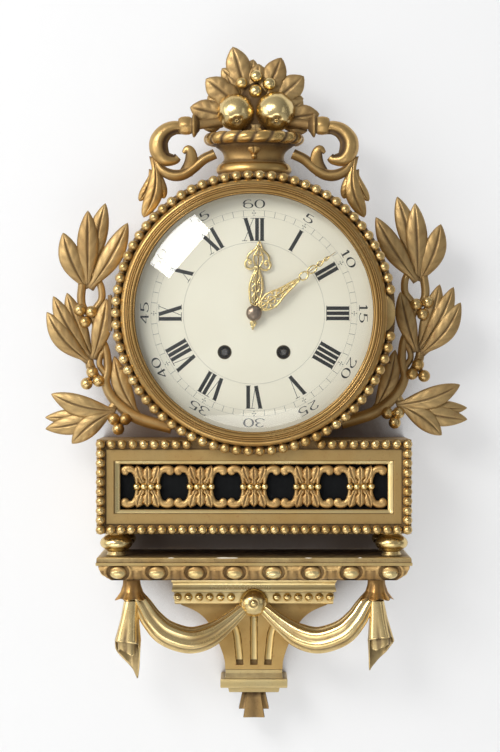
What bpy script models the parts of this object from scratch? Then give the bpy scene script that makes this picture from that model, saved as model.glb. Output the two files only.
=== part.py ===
"""Carved and gilded wall clock on a bracket: a round drum with a glazed door on a bead-edged plinth,
an urn of fruit on top, two laurel sprays, and a draped console below.
It holds a spring-driven striking movement with a short pendulum.

Sizes are millimetres and are turned into metres where a mesh is made. X runs to the right, Z up, and Y back
towards the wall. The origin is on the wall, on the axis of the dial. "Forward" below is the distance from the
wall towards the room, so it is minus Y.
"""

import math

import bmesh
import bpy
from mathutils import Matrix, Vector

MM = 0.001
GAP = 0.3            # between pieces that touch
PIVOT_GAP = 0.25     # between a pivot and its hole, on the radius

# Drum and back board
DRUM_R = 140.0
DRUM_WALL = 14.0
BACK_T = 10.0
DRUM_FRONT = 106.0
LEDGE_DEPTH = 12.0   # from the front edge of the drum back to the ring that carries the dial
LEDGE_T = 8.0
LEDGE_W = 13.0
HANGER_DROP = 14.0   # the hanging hole below the top of the drum's bore
PENDULUM_SLOT_W = 52.0
PENDULUM_SLOT_BACK = 12.0
PENDULUM_SLOT_FRONT = 32.0

# Glazed door
DOOR_LAP = 1.5       # the door's flange beyond the side of the drum
BEZEL_W = 21.0       # from the opening to the side of the drum
FLANGE_T = 2.0
BEZEL_T = 15.0
GLASS_LAP = 5.0      # the glass beyond the opening
GLASS_T = 2.0
GLASS_RISE = 15.0
GLASS_SEAT = 4.0
BEAD_INSET = 3.5     # from the edge of the flange to the middle of the beads
BEAD_R = 4.3
BEAD_PITCH = 11.72
NOTCH_DEG = 15.0
HINGE_KNUCKLE_R = 2.2
HINGE_PIN_R = 1.0
HINGE_LENGTH = 36.0
HINGE_LEAF_T = 1.2
HINGE_LEAF_W = 14.0

# Dial
DIAL_FIT = 0.5       # between the dial's edge and the drum
DIAL_T = 2.5
DIAL_RISE = 4.0
WINDING_X = 29.5
WINDING_Z = -39.0
WINDING_HOLE_R = 6.5
REGULATOR_Z = 81.0
REGULATOR_HOLE_R = 1.8

# Plinth
PLINTH_HALF_W = 158.0
PLINTH_H = 92.0
SADDLE_DEPTH = 13.0  # how far the drum is let into the plinth
PLINTH_SETBACK = 3.0
PLINTH_WALL = 10.0
FRAME_T = 12.0
STILE_W = 23.5
TOP_RAIL_H = 23.5
BOTTOM_RAIL_H = 24.0
FRET_T = 5.0
FRET_MOTIFS = 5
CLOTH_T = 1.2
PLINTH_BEAD_R = 4.2

# Feet, shelf and console
FOOT_INSET = 19.2
FOOT_SETBACK = 13.0
FOOT_REAR = 26.0
FOOT_R = 16.5
FOOT_H = 24.9
SHELF_LAP = 0.5      # the shelf beyond the sides of the plinth
SHELF_AHEAD = 7.0    # and beyond its front
SHELF_T = 8.5
MOULDING_H = 15.4
MOULDING_INSET = 2.5
MOULDING_SLOPE = 13.0
EGG_COUNT = 8
EGG_R = 9.5
CAP_HALF_W = 83.0
CAP_FRONT = 62.0
CAP_H = 27.4
CAP_STEP = 5.0
CAP_BEAD_R = 4.4
CAP_BEADS = 6
CAP_BEAD_PITCH = 10.4
BODY_HALF_W = 76.3
BODY_WAIST = 29.4
BODY_H = 67.6
BODY_FRONT = 50.0
FLUTE_R = 4.0
FLUTE_X = 20.0
CONSOLE_FOOT_HALF_W = 34.4
CONSOLE_FOOT_H = 23.5
CONSOLE_FOOT_FRONT = 56.0
PENDANT_H = 26.4
PENDANT_HALF_W = 15.6
PENDANT_DEPTH = 22.0
BOSS_R = 13.2
BOSS_RISE = 9.0

# Carved drapery
SWAG_R = 13.2
TAIL_X = 124.0
TAIL_FORWARD = 80.0
TAIL_R = 13.0
CUFF_H = 20.7
CUFF_R = 15.5
TAIL_H = 81.8

# Carved crest, scrolls and laurels
URN_RIM_R = 51.0
URN_RISE = 41.0      # the urn's rim above the top of the drum
URN_BODY_H = 52.0    # down to where the drum cuts it off
URN_DEPTH = 0.72     # the urn is flattened from front to back by this share
URN_FORWARD = 64.0
SCROLL_R = 6.0
SCROLL_FORWARD = 70.0
COLLAR_R = 8.0
LAUREL_FORWARD = 58.0
LAUREL_STEM_R = 3.6
LAUREL_LEAF_W = 17.0
LEAF_T = 6.0
BERRY_R = 5.8
RIGHT_LAUREL_TURN = 2.6   # the right spray stands turned by this many degrees

# Movement
PLATE_HALF_W = 60.0
PLATE_TOP = 58.0
PLATE_BOTTOM = -72.0
PLATE_T = 3.0
DIAL_TO_PLATE = 14.0 # from the ring under the dial back to the front plate
BACK_PLATE = 36.0    # front face of the back plate
PILLAR_R = 3.5
PILLAR_X = 54.0
PIVOT_R = 1.0
ARBOR_R = 1.5
BARREL_R = 25.0
WINDING_ARBOR_R = 3.0
WINDING_SQUARE = 5.0
BARREL_SHAKE = 2.0   # between a barrel and the front plate
GREAT_R = 27.0
GREAT_BACK = 50.0
GREAT_FRONT = 53.5
ESCAPE_Z = 27.0
ESCAPE_TEETH = 40
ESCAPE_R = 13.0
ANCHOR_Z = 46.0
CANNON_TEETH = 8
MINUTE_TEETH = 24
MINUTE_PINION_TEETH = 8
HOUR_TEETH = 32
MINUTE_WHEEL_AT = (-10.2, 10.2)
HAMMER_AT = (-40.0, 30.0)
BELL_R = 30.0
BELL_BASE = 78.0
BELL_H = 27.0
BELL_FORWARD = 46.0
PENDULUM_FORWARD = 22.0
BOB_DROP = 19.0      # the middle of the bob below the drum
ROD_HALF_W = 1.5
BOB_R = 20.0
BOB_T = 9.0
SEAT_T = 11.7

# Hands
HOUR_HAND_L = 74.0
HOUR_TAIL = 16.5
MINUTE_HAND_L = 102.0
HAND_T = 1.4
HOUR_PIPE_R = 3.2
CENTRE_ARBOR_R = 1.4
COLLET_R = 8.0
MINUTE_HAND_DEG = 53.2   # clockwise from twelve, as the hands stand at nine minutes past twelve
HOUR_HAND_DEG = 4.6

# Sizes that follow from these
DRUM_BORE_R = DRUM_R - DRUM_WALL
LEDGE_FRONT = DRUM_FRONT - LEDGE_DEPTH
LEDGE_BORE_R = DRUM_BORE_R - LEDGE_W
DOOR_R = DRUM_R + DOOR_LAP
OPENING_R = DRUM_R - BEZEL_W
GLASS_R = OPENING_R + GLASS_LAP
BEAD_RING_R = DOOR_R - BEAD_INSET
BEAD_COUNT = round(2 * math.pi * BEAD_RING_R / BEAD_PITCH)
DIAL_R = DRUM_BORE_R - DIAL_FIT
PLINTH_TOP = SADDLE_DEPTH - DRUM_R
PLINTH_BOTTOM = PLINTH_TOP - PLINTH_H
PLINTH_FRONT = DRUM_FRONT - PLINTH_SETBACK
FRET_HALF_W = PLINTH_HALF_W - STILE_W
FRET_TOP = PLINTH_TOP - TOP_RAIL_H
FRET_BOTTOM = PLINTH_BOTTOM + BOTTOM_RAIL_H
FOOT_X = PLINTH_HALF_W - FOOT_INSET
FOOT_FRONT = PLINTH_FRONT - FOOT_SETBACK
SHELF_TOP = PLINTH_BOTTOM - FOOT_H - 2 * GAP
SHELF_HALF_W = PLINTH_HALF_W + SHELF_LAP
SHELF_FRONT = PLINTH_FRONT + SHELF_AHEAD
URN_TOP = DRUM_R + URN_RISE
FRONT_PLATE = LEDGE_FRONT - DIAL_TO_PLATE
BARREL_FRONT = FRONT_PLATE - PLATE_T - BARREL_SHAKE

# Scene and helpers

for old in list(bpy.data.objects):
    bpy.data.objects.remove(old)

PARTS = bpy.data.collections.new("cartel_clock")
CUTTERS = bpy.data.collections.new("cutters")
for group in (PARTS, CUTTERS):
    bpy.context.scene.collection.children.link(group)


def finish(name, colour, roughness, metallic):
    """A plain material of one colour."""
    made = bpy.data.materials.new(name)
    made.use_nodes = True
    shader = made.node_tree.nodes["Principled BSDF"]
    shader.inputs["Base Color"].default_value = (*colour, 1.0)
    shader.inputs["Roughness"].default_value = roughness
    shader.inputs["Metallic"].default_value = metallic
    return made


GILT = finish("gilded_wood", (0.46, 0.29, 0.10), 0.45, 0.7)
BRIGHT_GILT = finish("burnished_gilding", (0.72, 0.52, 0.20), 0.22, 0.9)
BARE_WOOD = finish("bare_wood", (0.20, 0.13, 0.08), 0.8, 0.0)
BRASS = finish("brass", (0.70, 0.52, 0.24), 0.35, 1.0)
STEEL = finish("steel", (0.45, 0.45, 0.47), 0.35, 1.0)
ENAMEL = finish("white_enamel", (0.80, 0.78, 0.69), 0.15, 0.0)
GLASS = finish("glass", (0.90, 0.94, 0.92), 0.03, 0.0)
CLOTH = finish("black_cloth", (0.02, 0.02, 0.025), 0.95, 0.0)
BELL_METAL = finish("bell_metal", (0.62, 0.50, 0.30), 0.3, 1.0)

FACING_ROOM = (math.pi / 2, 0.0, 0.0)   # turns a shape drawn in XY with its height along Z to face the room


def place(obj, material):
    """Links a new piece into the model and gives it its material."""
    PARTS.objects.link(obj)
    obj.data.materials.clear()
    obj.data.materials.append(material)
    return obj


def as_mesh(obj):
    """The same piece as a plain mesh, with its caps welded and its modifiers applied."""
    bpy.context.view_layer.update()
    evaluated = obj.evaluated_get(bpy.context.evaluated_depsgraph_get())
    mesh = bpy.data.meshes.new_from_object(evaluated)
    mesh.transform(obj.matrix_world)
    work = bmesh.new()
    work.from_mesh(mesh)
    bmesh.ops.remove_doubles(work, verts=work.verts, dist=1e-6)
    bmesh.ops.recalc_face_normals(work, faces=work.faces)
    work.to_mesh(mesh)
    work.free()
    name = obj.name
    material = obj.data.materials[0]
    bpy.data.objects.remove(obj)
    return place(bpy.data.objects.new(name, mesh), material)


def as_cutter(obj):
    """Takes a piece out of the model, to be used only as an operand of a Boolean."""
    PARTS.objects.unlink(obj)
    CUTTERS.objects.link(obj)
    obj.hide_render = True
    obj.display_type = "WIRE"
    return obj


def boolean(target, operand, operation):
    """Adds a Boolean of the operand, which becomes a cutter."""
    as_cutter(operand)
    made = target.modifiers.new(operation.lower(), "BOOLEAN")
    made.solver = "EXACT"
    made.operation = operation
    made.object = operand
    return target


def fused(name, pieces):
    """One body from overlapping pieces, under the given name. The first piece gives the material."""
    meshes = [as_mesh(piece) for piece in pieces]
    for other in meshes[1:]:
        boolean(meshes[0], other, "UNION")
    body = as_mesh(meshes[0])
    for other in meshes[1:]:
        bpy.data.objects.remove(other)
    body.name = name
    return body


def cut(target, *cutters):
    """The target with the cutters taken out, as a plain mesh."""
    name = target.name
    body = as_mesh(target)
    tools = [as_mesh(cutter) for cutter in cutters]
    for tool in tools:
        boolean(body, tool, "DIFFERENCE")
    made = as_mesh(body)
    for tool in tools:
        bpy.data.objects.remove(tool)
    made.name = name
    return made


def turned(name, profile, steps, material, x=0.0, z=0.0, closed=False, upright=None):
    """A turned shape. The profile is (radius, forward) points down the outer side from the front to the back.
    A closed profile is a ring; an open one begins and ends on the axis. With upright, the axis is vertical at
    that forward distance and the profile is (radius, height) points from the top down."""
    mesh = bpy.data.meshes.new(name)
    count = len(profile)
    edges = [(i, i + 1) for i in range(count - 1)] + ([(count - 1, 0)] if closed else [])
    mesh.from_pydata([(r * MM, 0.0, h * MM) for r, h in profile], edges, [])
    made = place(bpy.data.objects.new(name, mesh), material)
    screw = made.modifiers.new("turn", "SCREW")
    screw.steps = steps
    screw.render_steps = steps
    screw.use_merge_vertices = True
    screw.merge_threshold = 1e-6
    screw.use_normal_calculate = True
    if upright is None:
        made.location = (x * MM, 0.0, z * MM)
        made.rotation_euler = FACING_ROOM
    else:
        made.location = (x * MM, -upright * MM, z * MM)
    return as_mesh(made)


def outline(name, loops, back, front, material):
    """A flat piece cut to outlines of (x, z) points, the first one outside and the others holes."""
    curve = bpy.data.curves.new(name, "CURVE")
    curve.dimensions = "2D"
    curve.fill_mode = "BOTH"
    curve.extrude = (front - back) / 2 * MM
    for loop in loops:
        spline = curve.splines.new("POLY")
        spline.points.add(len(loop) - 1)
        spline.use_cyclic_u = True
        for point, (x, z) in zip(spline.points, loop):
            point.co = (x * MM, z * MM, 0.0, 1.0)
    made = place(bpy.data.objects.new(name, curve), material)
    made.rotation_euler = FACING_ROOM
    made.location = (0.0, -(front + back) / 2 * MM, 0.0)
    return made


def tube(name, points, radius, material, resolution=1, radii=None):
    """A round bar through (x, forward, z) points, with optional thickness factors along it."""
    curve = bpy.data.curves.new(name, "CURVE")
    curve.dimensions = "3D"
    curve.bevel_depth = radius * MM
    curve.bevel_resolution = resolution
    curve.use_fill_caps = True
    spline = curve.splines.new("POLY")
    spline.points.add(len(points) - 1)
    for i, (x, forward, z) in enumerate(points):
        spline.points[i].co = (x * MM, -forward * MM, z * MM, 1.0)
        spline.points[i].radius = radii[i] if radii else 1.0
    return place(bpy.data.objects.new(name, curve), material)


def block(name, x0, x1, back, front, z0, z1, material):
    """A rectangular board between the given faces."""
    work = bmesh.new()
    bmesh.ops.create_cube(work, size=1.0)
    middle = Vector(((x0 + x1) / 2, -(back + front) / 2, (z0 + z1) / 2))
    for vert in work.verts:
        vert.co = Vector((vert.co.x * (x1 - x0), vert.co.y * (front - back), vert.co.z * (z1 - z0)))
        vert.co = (vert.co + middle) * MM
    mesh = bpy.data.meshes.new(name)
    work.to_mesh(mesh)
    work.free()
    return place(bpy.data.objects.new(name, mesh), material)


def ball(name, x, forward, z, radius, material, segments=8, rings=6, squash=1.0):
    """A ball, or with squash a bun flattened in height."""
    work = bmesh.new()
    bmesh.ops.create_uvsphere(work, u_segments=segments, v_segments=rings, radius=radius * MM)
    for vert in work.verts:
        vert.co.z *= squash
        vert.co += Vector((x, -forward, z)) * MM
    mesh = bpy.data.meshes.new(name)
    work.to_mesh(mesh)
    work.free()
    return place(bpy.data.objects.new(name, mesh), material)


def circle(x, z, radius, sides, start=0.0):
    """Points round a circle."""
    turns = [start + 2 * math.pi * i / sides for i in range(sides)]
    return [(x + radius * math.cos(a), z + radius * math.sin(a)) for a in turns]


def smooth(points, per_span):
    """Points along a smooth curve through the given ones (Catmull-Rom)."""
    ends = [points[0], *points, points[-1]]
    found = []
    for i in range(len(points) - 1):
        p0, p1, p2, p3 = (Vector(ends[i + k]) for k in range(4))
        for step in range(per_span):
            t = step / per_span
            found.append(
                0.5 * (2 * p1 + (p2 - p0) * t + (2 * p0 - 5 * p1 + 4 * p2 - p3) * t * t
                       + (3 * p1 - p0 - 3 * p2 + p3) * t ** 3)
            )
    return [tuple(p) for p in found] + [tuple(points[-1])]


def stack(name, levels, material, x=0.0, back=0.0):
    """A moulded block from rectangular levels of (height, half width, front), top down, with a flat back."""
    mesh = bpy.data.meshes.new(name)
    corners = [
        ((x + sx * half) * MM, -(front if ahead else back) * MM, z * MM)
        for z, half, front in levels
        for sx, ahead in ((-1, True), (1, True), (1, False), (-1, False))
    ]
    faces = [(0, 1, 2, 3), tuple(range(len(corners) - 1, len(corners) - 5, -1))]
    for level in range(len(levels) - 1):
        for side in range(4):
            a = 4 * level + side
            b = 4 * level + (side + 1) % 4
            faces.append((a, a + 4, b + 4, b))
    mesh.from_pydata(corners, [], faces)
    return as_mesh(place(bpy.data.objects.new(name, mesh), material))


def bead_points(points, pitch):
    """Points along a polyline with a valley before and after each bead, and the thickness factor at each."""
    legs = [(Vector(a), Vector(b)) for a, b in zip(points, points[1:])]
    found, factors = [], []
    for a, b in legs:
        count = max(1, round((b - a).length / pitch))
        for i in range(2 * count):
            found.append(tuple(a.lerp(b, i / (2 * count))))
            factors.append(1.0 if i % 2 == 0 else VALLEY)
    return [*found, points[-1]], [*factors, 1.0]


VALLEY = 0.5         # thickness of a bead moulding between two beads, as a share of the bead

# Drum, back board and hanger

DRUM_BACK = BACK_T + GAP
DRUM_STEPS = 40
HANGER_Z = DRUM_BORE_R - HANGER_DROP
HANGER_T = 2.0
HANGER_HALF_W = 16.0
HANGER_HALF_H = 13.0
KEYHOLE_R = 4.5

drum = turned(
    "drum_case",
    [(DRUM_R, DRUM_FRONT), (DRUM_R, DRUM_BACK), (DRUM_BORE_R, DRUM_BACK), (DRUM_BORE_R, DRUM_FRONT)],
    DRUM_STEPS, GILT, closed=True,
)
slot = block("pendulum_slot", -PENDULUM_SLOT_W / 2, PENDULUM_SLOT_W / 2, PENDULUM_SLOT_BACK,
             PENDULUM_SLOT_FRONT,
             -DRUM_R - 20, -DRUM_BORE_R + 10, BARE_WOOD)
cut(drum, slot)
ledge_back = LEDGE_FRONT - LEDGE_T
ledge_r = DRUM_BORE_R - GAP
turned("dial_ring", [(ledge_r, LEDGE_FRONT), (ledge_r, ledge_back), (LEDGE_BORE_R, ledge_back),
                     (LEDGE_BORE_R, LEDGE_FRONT)], DRUM_STEPS, BARE_WOOD, closed=True)

meet_x = math.sqrt(DRUM_R ** 2 - PLINTH_TOP ** 2)
meet_angle = math.atan2(PLINTH_TOP, meet_x)
ARC_POINTS = 30
sweep = math.pi - 2 * meet_angle
arch = [
    (DRUM_R * math.cos(meet_angle + sweep * i / ARC_POINTS),
     DRUM_R * math.sin(meet_angle + sweep * i / ARC_POINTS))
    for i in range(ARC_POINTS + 1)
]
board = [(PLINTH_HALF_W, PLINTH_BOTTOM), (PLINTH_HALF_W, PLINTH_TOP), *arch,
         (-PLINTH_HALF_W, PLINTH_TOP), (-PLINTH_HALF_W, PLINTH_BOTTOM)]
outline("back_board", [board, circle(0, HANGER_Z, KEYHOLE_R, 10)], 0.0, BACK_T, BARE_WOOD)
hanger_edge = [(-HANGER_HALF_W, HANGER_Z - HANGER_HALF_H), (HANGER_HALF_W, HANGER_Z - HANGER_HALF_H),
               (HANGER_HALF_W, HANGER_Z + 0.5 * HANGER_HALF_H),
               (-HANGER_HALF_W, HANGER_Z + 0.5 * HANGER_HALF_H)]
outline("hanger_plate", [hanger_edge, circle(0, HANGER_Z, KEYHOLE_R - 1, 10)],
        BACK_T + GAP, BACK_T + GAP + HANGER_T, STEEL)

# Glazed door: bezel, glass, bead ring, finger pull and hinge

DOOR_BACK = DRUM_FRONT + GAP
flange_front = DOOR_BACK + FLANGE_T
bezel_front = DOOR_BACK + BEZEL_T
glass_front = DOOR_BACK + GLASS_SEAT + GLASS_T
bezel_side = BEAD_RING_R - BEAD_R - 0.5
reed = (bezel_side - OPENING_R) / 5
turned(
    "bezel",
    [(bezel_side - 1.3 * reed, bezel_front), (bezel_side, bezel_front - 3), (bezel_side, flange_front),
     (DOOR_R, flange_front), (DOOR_R, DOOR_BACK), (GLASS_R + GAP, DOOR_BACK), (GLASS_R + GAP,
                                                                               glass_front + GAP),
     (OPENING_R, glass_front + GAP), (OPENING_R, bezel_front - 5), (OPENING_R + 1.6 * reed,
                                                                    bezel_front - 1.2)],
    DRUM_STEPS, GILT, closed=True,
)

dome_r = OPENING_R - 1.0
GLASS_RINGS = 2
dome = [
    (dome_r * (1 - i / GLASS_RINGS), GLASS_RISE * (1 - (1 - i / GLASS_RINGS) ** 2))
    for i in range(GLASS_RINGS + 1)
]
front_face = [(r, glass_front + rise) for r, rise in reversed(dome)]
back_face = [(r, glass_front - GLASS_T + rise) for r, rise in dome]
turned("door_glass", [*front_face, (GLASS_R, glass_front), (GLASS_R, glass_front - GLASS_T), *back_face],
       DRUM_STEPS, GLASS)

bead_forward = flange_front + GAP + BEAD_R
bead_turn = 2 * math.pi / BEAD_COUNT
notch_beads = round(math.radians(NOTCH_DEG) / bead_turn)
ring_points, ring_factors = [], []
first = (notch_beads + 1) / 2 * bead_turn
for i in range(2 * (BEAD_COUNT - notch_beads) - 1):
    angle = first + i * bead_turn / 2
    ring_points.append((BEAD_RING_R * math.cos(angle), bead_forward, BEAD_RING_R * math.sin(angle)))
    ring_factors.append(1.0 if i % 2 == 0 else VALLEY)
tube("bead_ring", ring_points, BEAD_R, BRIGHT_GILT, resolution=0, radii=ring_factors)

PULL_T = 3.6
half_pull = math.radians(NOTCH_DEG) / 2 - 0.25 * bead_turn
pull_inner = bezel_side + GAP
pull_turns = [half_pull * (i / 3 - 1) for i in range(7)]
pull = [(pull_inner * math.cos(a), pull_inner * math.sin(a)) for a in pull_turns]
pull += [(DOOR_R * math.cos(a), DOOR_R * math.sin(a)) for a in reversed(pull_turns)]
outline("finger_pull", [pull], flange_front + GAP, flange_front + PULL_T, GILT)

# The hinge stands on the left side of the drum: a bracket on the drum, a strap on the door's rim, and a pin
HINGE_X = -(DOOR_R + GAP + HINGE_KNUCKLE_R)
HINGE_FORWARD = DRUM_FRONT + GAP / 2
third = HINGE_LENGTH / 3
hinge_bore_r = HINGE_PIN_R + PIVOT_GAP


def knuckle(name, z0, z1):
    """A hinge knuckle with its bore, between two heights."""
    return turned(
        name, [(HINGE_KNUCKLE_R, z1), (HINGE_KNUCKLE_R, z0), (hinge_bore_r, z0), (hinge_bore_r, z1)],
        10, BRASS, x=HINGE_X, closed=True, upright=HINGE_FORWARD,
    )


bracket = block("bracket", HINGE_X - 0.7 * HINGE_KNUCKLE_R, -DRUM_R - GAP, HINGE_FORWARD - HINGE_LEAF_W,
                HINGE_FORWARD - hinge_bore_r - 0.1, -third / 2 + GAP, third / 2 - GAP, BRASS)
fused("hinge_case_leaf", [bracket, knuckle("case_knuckle", -third / 2 + GAP, third / 2 - GAP)])

bridge_back = HINGE_FORWARD + HINGE_KNUCKLE_R + 2 * GAP
bridge_right = -(BEAD_RING_R + BEAD_R + GAP)
door_leaf = [block("bridge", HINGE_X - HINGE_KNUCKLE_R, bridge_right, bridge_back, bridge_back + HINGE_LEAF_T,
                   -1.5 * third, 1.5 * third, BRASS)]
for low, high in ((third / 2 + GAP, 1.5 * third), (-1.5 * third, -third / 2 - GAP)):
    door_leaf.append(knuckle("door_knuckle", low, high))
    door_leaf.append(block("web", HINGE_X - HINGE_KNUCKLE_R, bridge_right, HINGE_FORWARD + hinge_bore_r + 0.1,
                           bridge_back + HINGE_LEAF_T / 2, low, high, BRASS))
fused("hinge_door_leaf", door_leaf)
turned("hinge_pin", [(0, 1.6 * third), (HINGE_PIN_R, 1.6 * third), (HINGE_PIN_R, -1.6 * third),
                     (0, -1.6 * third)],
       10, STEEL, x=HINGE_X, upright=HINGE_FORWARD)

# Dial

DIAL_BACK = LEDGE_FRONT + GAP
CENTRE_HOLE_R = 4.2
DIAL_RINGS = 2
bow = [(DIAL_R * (1 - i / DIAL_RINGS),
        DIAL_RISE * (1 - (1 - i / DIAL_RINGS) ** 2)) for i in range(DIAL_RINGS + 1)]
dial = turned(
    "dial",
    [*((r, DIAL_BACK + DIAL_T + rise) for r, rise in reversed(bow)),
     *((r, DIAL_BACK + rise) for r, rise in bow)],
    DRUM_STEPS, ENAMEL,
)


def drill(x, z, radius, sides=12):
    """A cutter for a round hole from front to back of the dial."""
    return outline("drill", [circle(x, z, radius, sides)], DIAL_BACK - 10, DIAL_BACK + 20, STEEL)


cut(dial, drill(0, 0, CENTRE_HOLE_R), drill(-WINDING_X, WINDING_Z, WINDING_HOLE_R),
    drill(WINDING_X, WINDING_Z, WINDING_HOLE_R), drill(0, REGULATOR_Z, REGULATOR_HOLE_R, 8))

# Plinth: case, front frame, bead border, fret and the cloth behind it

DRUM_SEAT_R = DRUM_R + GAP
FRAME_STEP = 6.0
frame_back = PLINTH_FRONT - FRAME_T


def rectangle(half_w, top, bottom):
    """The corners of a rectangle about the middle line."""
    return [(half_w, bottom), (half_w, top), (-half_w, top), (-half_w, bottom)]


def drum_cutter():
    """The round seat that the drum is let into."""
    return outline("drum_seat", [circle(0, 0, DRUM_SEAT_R, DRUM_STEPS)], -5.0, PLINTH_FRONT + 40, GILT)


case = outline(
    "plinth_case",
    [rectangle(PLINTH_HALF_W, PLINTH_TOP, PLINTH_BOTTOM),
     rectangle(PLINTH_HALF_W - PLINTH_WALL, PLINTH_TOP - PLINTH_WALL, PLINTH_BOTTOM + PLINTH_WALL)],
    DRUM_BACK, frame_back - GAP, GILT,
)
cut(case, drum_cutter())
outer_edge = rectangle(PLINTH_HALF_W, PLINTH_TOP, PLINTH_BOTTOM)
rear_layer = outline("rear_layer", [outer_edge, rectangle(FRET_HALF_W, FRET_TOP, FRET_BOTTOM)],
                     frame_back, PLINTH_FRONT - FRAME_T / 2, GILT)
front_layer = outline(
    "front_layer",
    [outer_edge, rectangle(FRET_HALF_W + FRAME_STEP, FRET_TOP + FRAME_STEP / 2,
                           FRET_BOTTOM - FRAME_STEP / 2)],
    PLINTH_FRONT - FRAME_T / 2 - 0.5, PLINTH_FRONT, GILT,
)
cut(fused("plinth_frame", [rear_layer, front_layer]), drum_cutter())

border_w = PLINTH_HALF_W - PLINTH_BEAD_R
border_top = PLINTH_TOP - PLINTH_BEAD_R
border_bottom = PLINTH_BOTTOM + PLINTH_BEAD_R
border_forward = PLINTH_FRONT + GAP + PLINTH_BEAD_R
door_reach = BEAD_RING_R + BEAD_R + PLINTH_BEAD_R + 1
start_x = math.sqrt(door_reach ** 2 - border_top ** 2)
corners = [(-start_x, border_top), (-border_w, border_top), (-border_w, border_bottom),
           (border_w, border_bottom), (border_w, border_top), (start_x, border_top)]
tube("plinth_beads", [(x, border_forward, z) for x, z in corners], PLINTH_BEAD_R, BRIGHT_GILT)

FRET_GAP = 0.5
FRET_BEAD_R = 3.4
FRET_BAR_HALF_W = 12.0
HOLE_HALF_W = 14.5
HOLE_HALF_H = 15.5
fret_middle = (FRET_TOP + FRET_BOTTOM) / 2
fret_back = frame_back
fret_edge_w = FRET_HALF_W - FRET_GAP
fret_pitch = 2 * fret_edge_w / FRET_MOTIFS


def fret_hole(x):
    """A cutter for one rounded-square hole between two leaf motifs."""
    points = []
    for i in range(12):
        a = 2 * math.pi * (i + 0.5) / 12
        stretch = (abs(math.cos(a)) ** 3 + abs(math.sin(a)) ** 3) ** (-1 / 3)
        points.append((x + HOLE_HALF_W * stretch * math.cos(a),
                       fret_middle + HOLE_HALF_H * stretch * math.sin(a)))
    return outline("fret_hole", [points], fret_back - 5.0, fret_back + FRET_T + 5.0, GILT)


lattice = block("lattice", -fret_edge_w, fret_edge_w, fret_back, fret_back + FRET_T, FRET_BOTTOM + FRET_GAP,
                FRET_TOP - FRET_GAP, GILT)
fret_pieces = [cut(lattice, *(fret_hole((i - FRET_MOTIFS / 2) * fret_pitch) for i in range(FRET_MOTIFS + 1)))]
for i in range(FRET_MOTIFS):
    middle = (i - (FRET_MOTIFS - 1) / 2) * fret_pitch
    ahead = fret_back + FRET_T + 0.1 * FRET_BEAD_R
    line = [(middle - FRET_BAR_HALF_W, ahead, fret_middle), (middle + FRET_BAR_HALF_W, ahead, fret_middle)]
    fret_pieces.append(tube("bead_bar", line, FRET_BEAD_R, GILT))
fused("fret_panel", fret_pieces)

CLOTH_LAP = 6.0
cloth_front = frame_back - GAP
block("fret_cloth", -FRET_HALF_W - CLOTH_LAP, FRET_HALF_W + CLOTH_LAP, cloth_front - CLOTH_T, cloth_front,
      FRET_BOTTOM - CLOTH_LAP, FRET_TOP + CLOTH_LAP, CLOTH)

# Feet

foot_top = PLINTH_BOTTOM - GAP
foot_bottom = SHELF_TOP + GAP
foot_h = foot_top - foot_bottom
foot_profile = [(0, 1), (0.55, 1), (0.55, 0.84), (0.80, 0.76), (1, 0.54), (0.90, 0.36), (0.62, 0.26),
                (0.50, 0.16),
                (0.58, 0), (0, 0)]
for end, forward in (("front", FOOT_FRONT), ("rear", FOOT_REAR)):
    for side, x in (("left", -FOOT_X), ("right", FOOT_X)):
        turned(f"foot_{end}_{side}", [(r * FOOT_R, foot_bottom + h * foot_h) for r, h in foot_profile], 12,
               BRIGHT_GILT, x=x, upright=forward)

# Shelf, its egg moulding and the console below

shelf_edge = 1.5
stack("shelf", [(SHELF_TOP, SHELF_HALF_W - shelf_edge, SHELF_FRONT - shelf_edge),
                (SHELF_TOP - shelf_edge, SHELF_HALF_W, SHELF_FRONT),
                (SHELF_TOP - SHELF_T + shelf_edge, SHELF_HALF_W, SHELF_FRONT),
                (SHELF_TOP - SHELF_T, SHELF_HALF_W - shelf_edge, SHELF_FRONT - shelf_edge)], GILT)

moulding_top = SHELF_TOP - SHELF_T - GAP
moulding_bottom = moulding_top - MOULDING_H
MOULDING_LEVELS = ((0.0, 0.0), (0.2, 0.0), (0.5, 0.23), (0.8, 0.62), (1.0, 1.0))   # share of height, of slope
levels = []
for down, slope in MOULDING_LEVELS:
    inset = MOULDING_INSET + slope * MOULDING_SLOPE
    levels.append((moulding_top - down * MOULDING_H, SHELF_HALF_W - inset, SHELF_FRONT - inset))
moulding = [stack("moulding", levels, GILT)]
egg_pitch = 2 * (SHELF_HALF_W - MOULDING_INSET) / EGG_COUNT
egg_forward = SHELF_FRONT - MOULDING_INSET - EGG_R + 1.5
for i in range(EGG_COUNT):
    moulding.append(ball("egg", (i - (EGG_COUNT - 1) / 2) * egg_pitch, egg_forward,
                         moulding_top - 0.47 * MOULDING_H,
                         EGG_R, BRIGHT_GILT, squash=0.6))
fused("egg_moulding", moulding)

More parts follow.
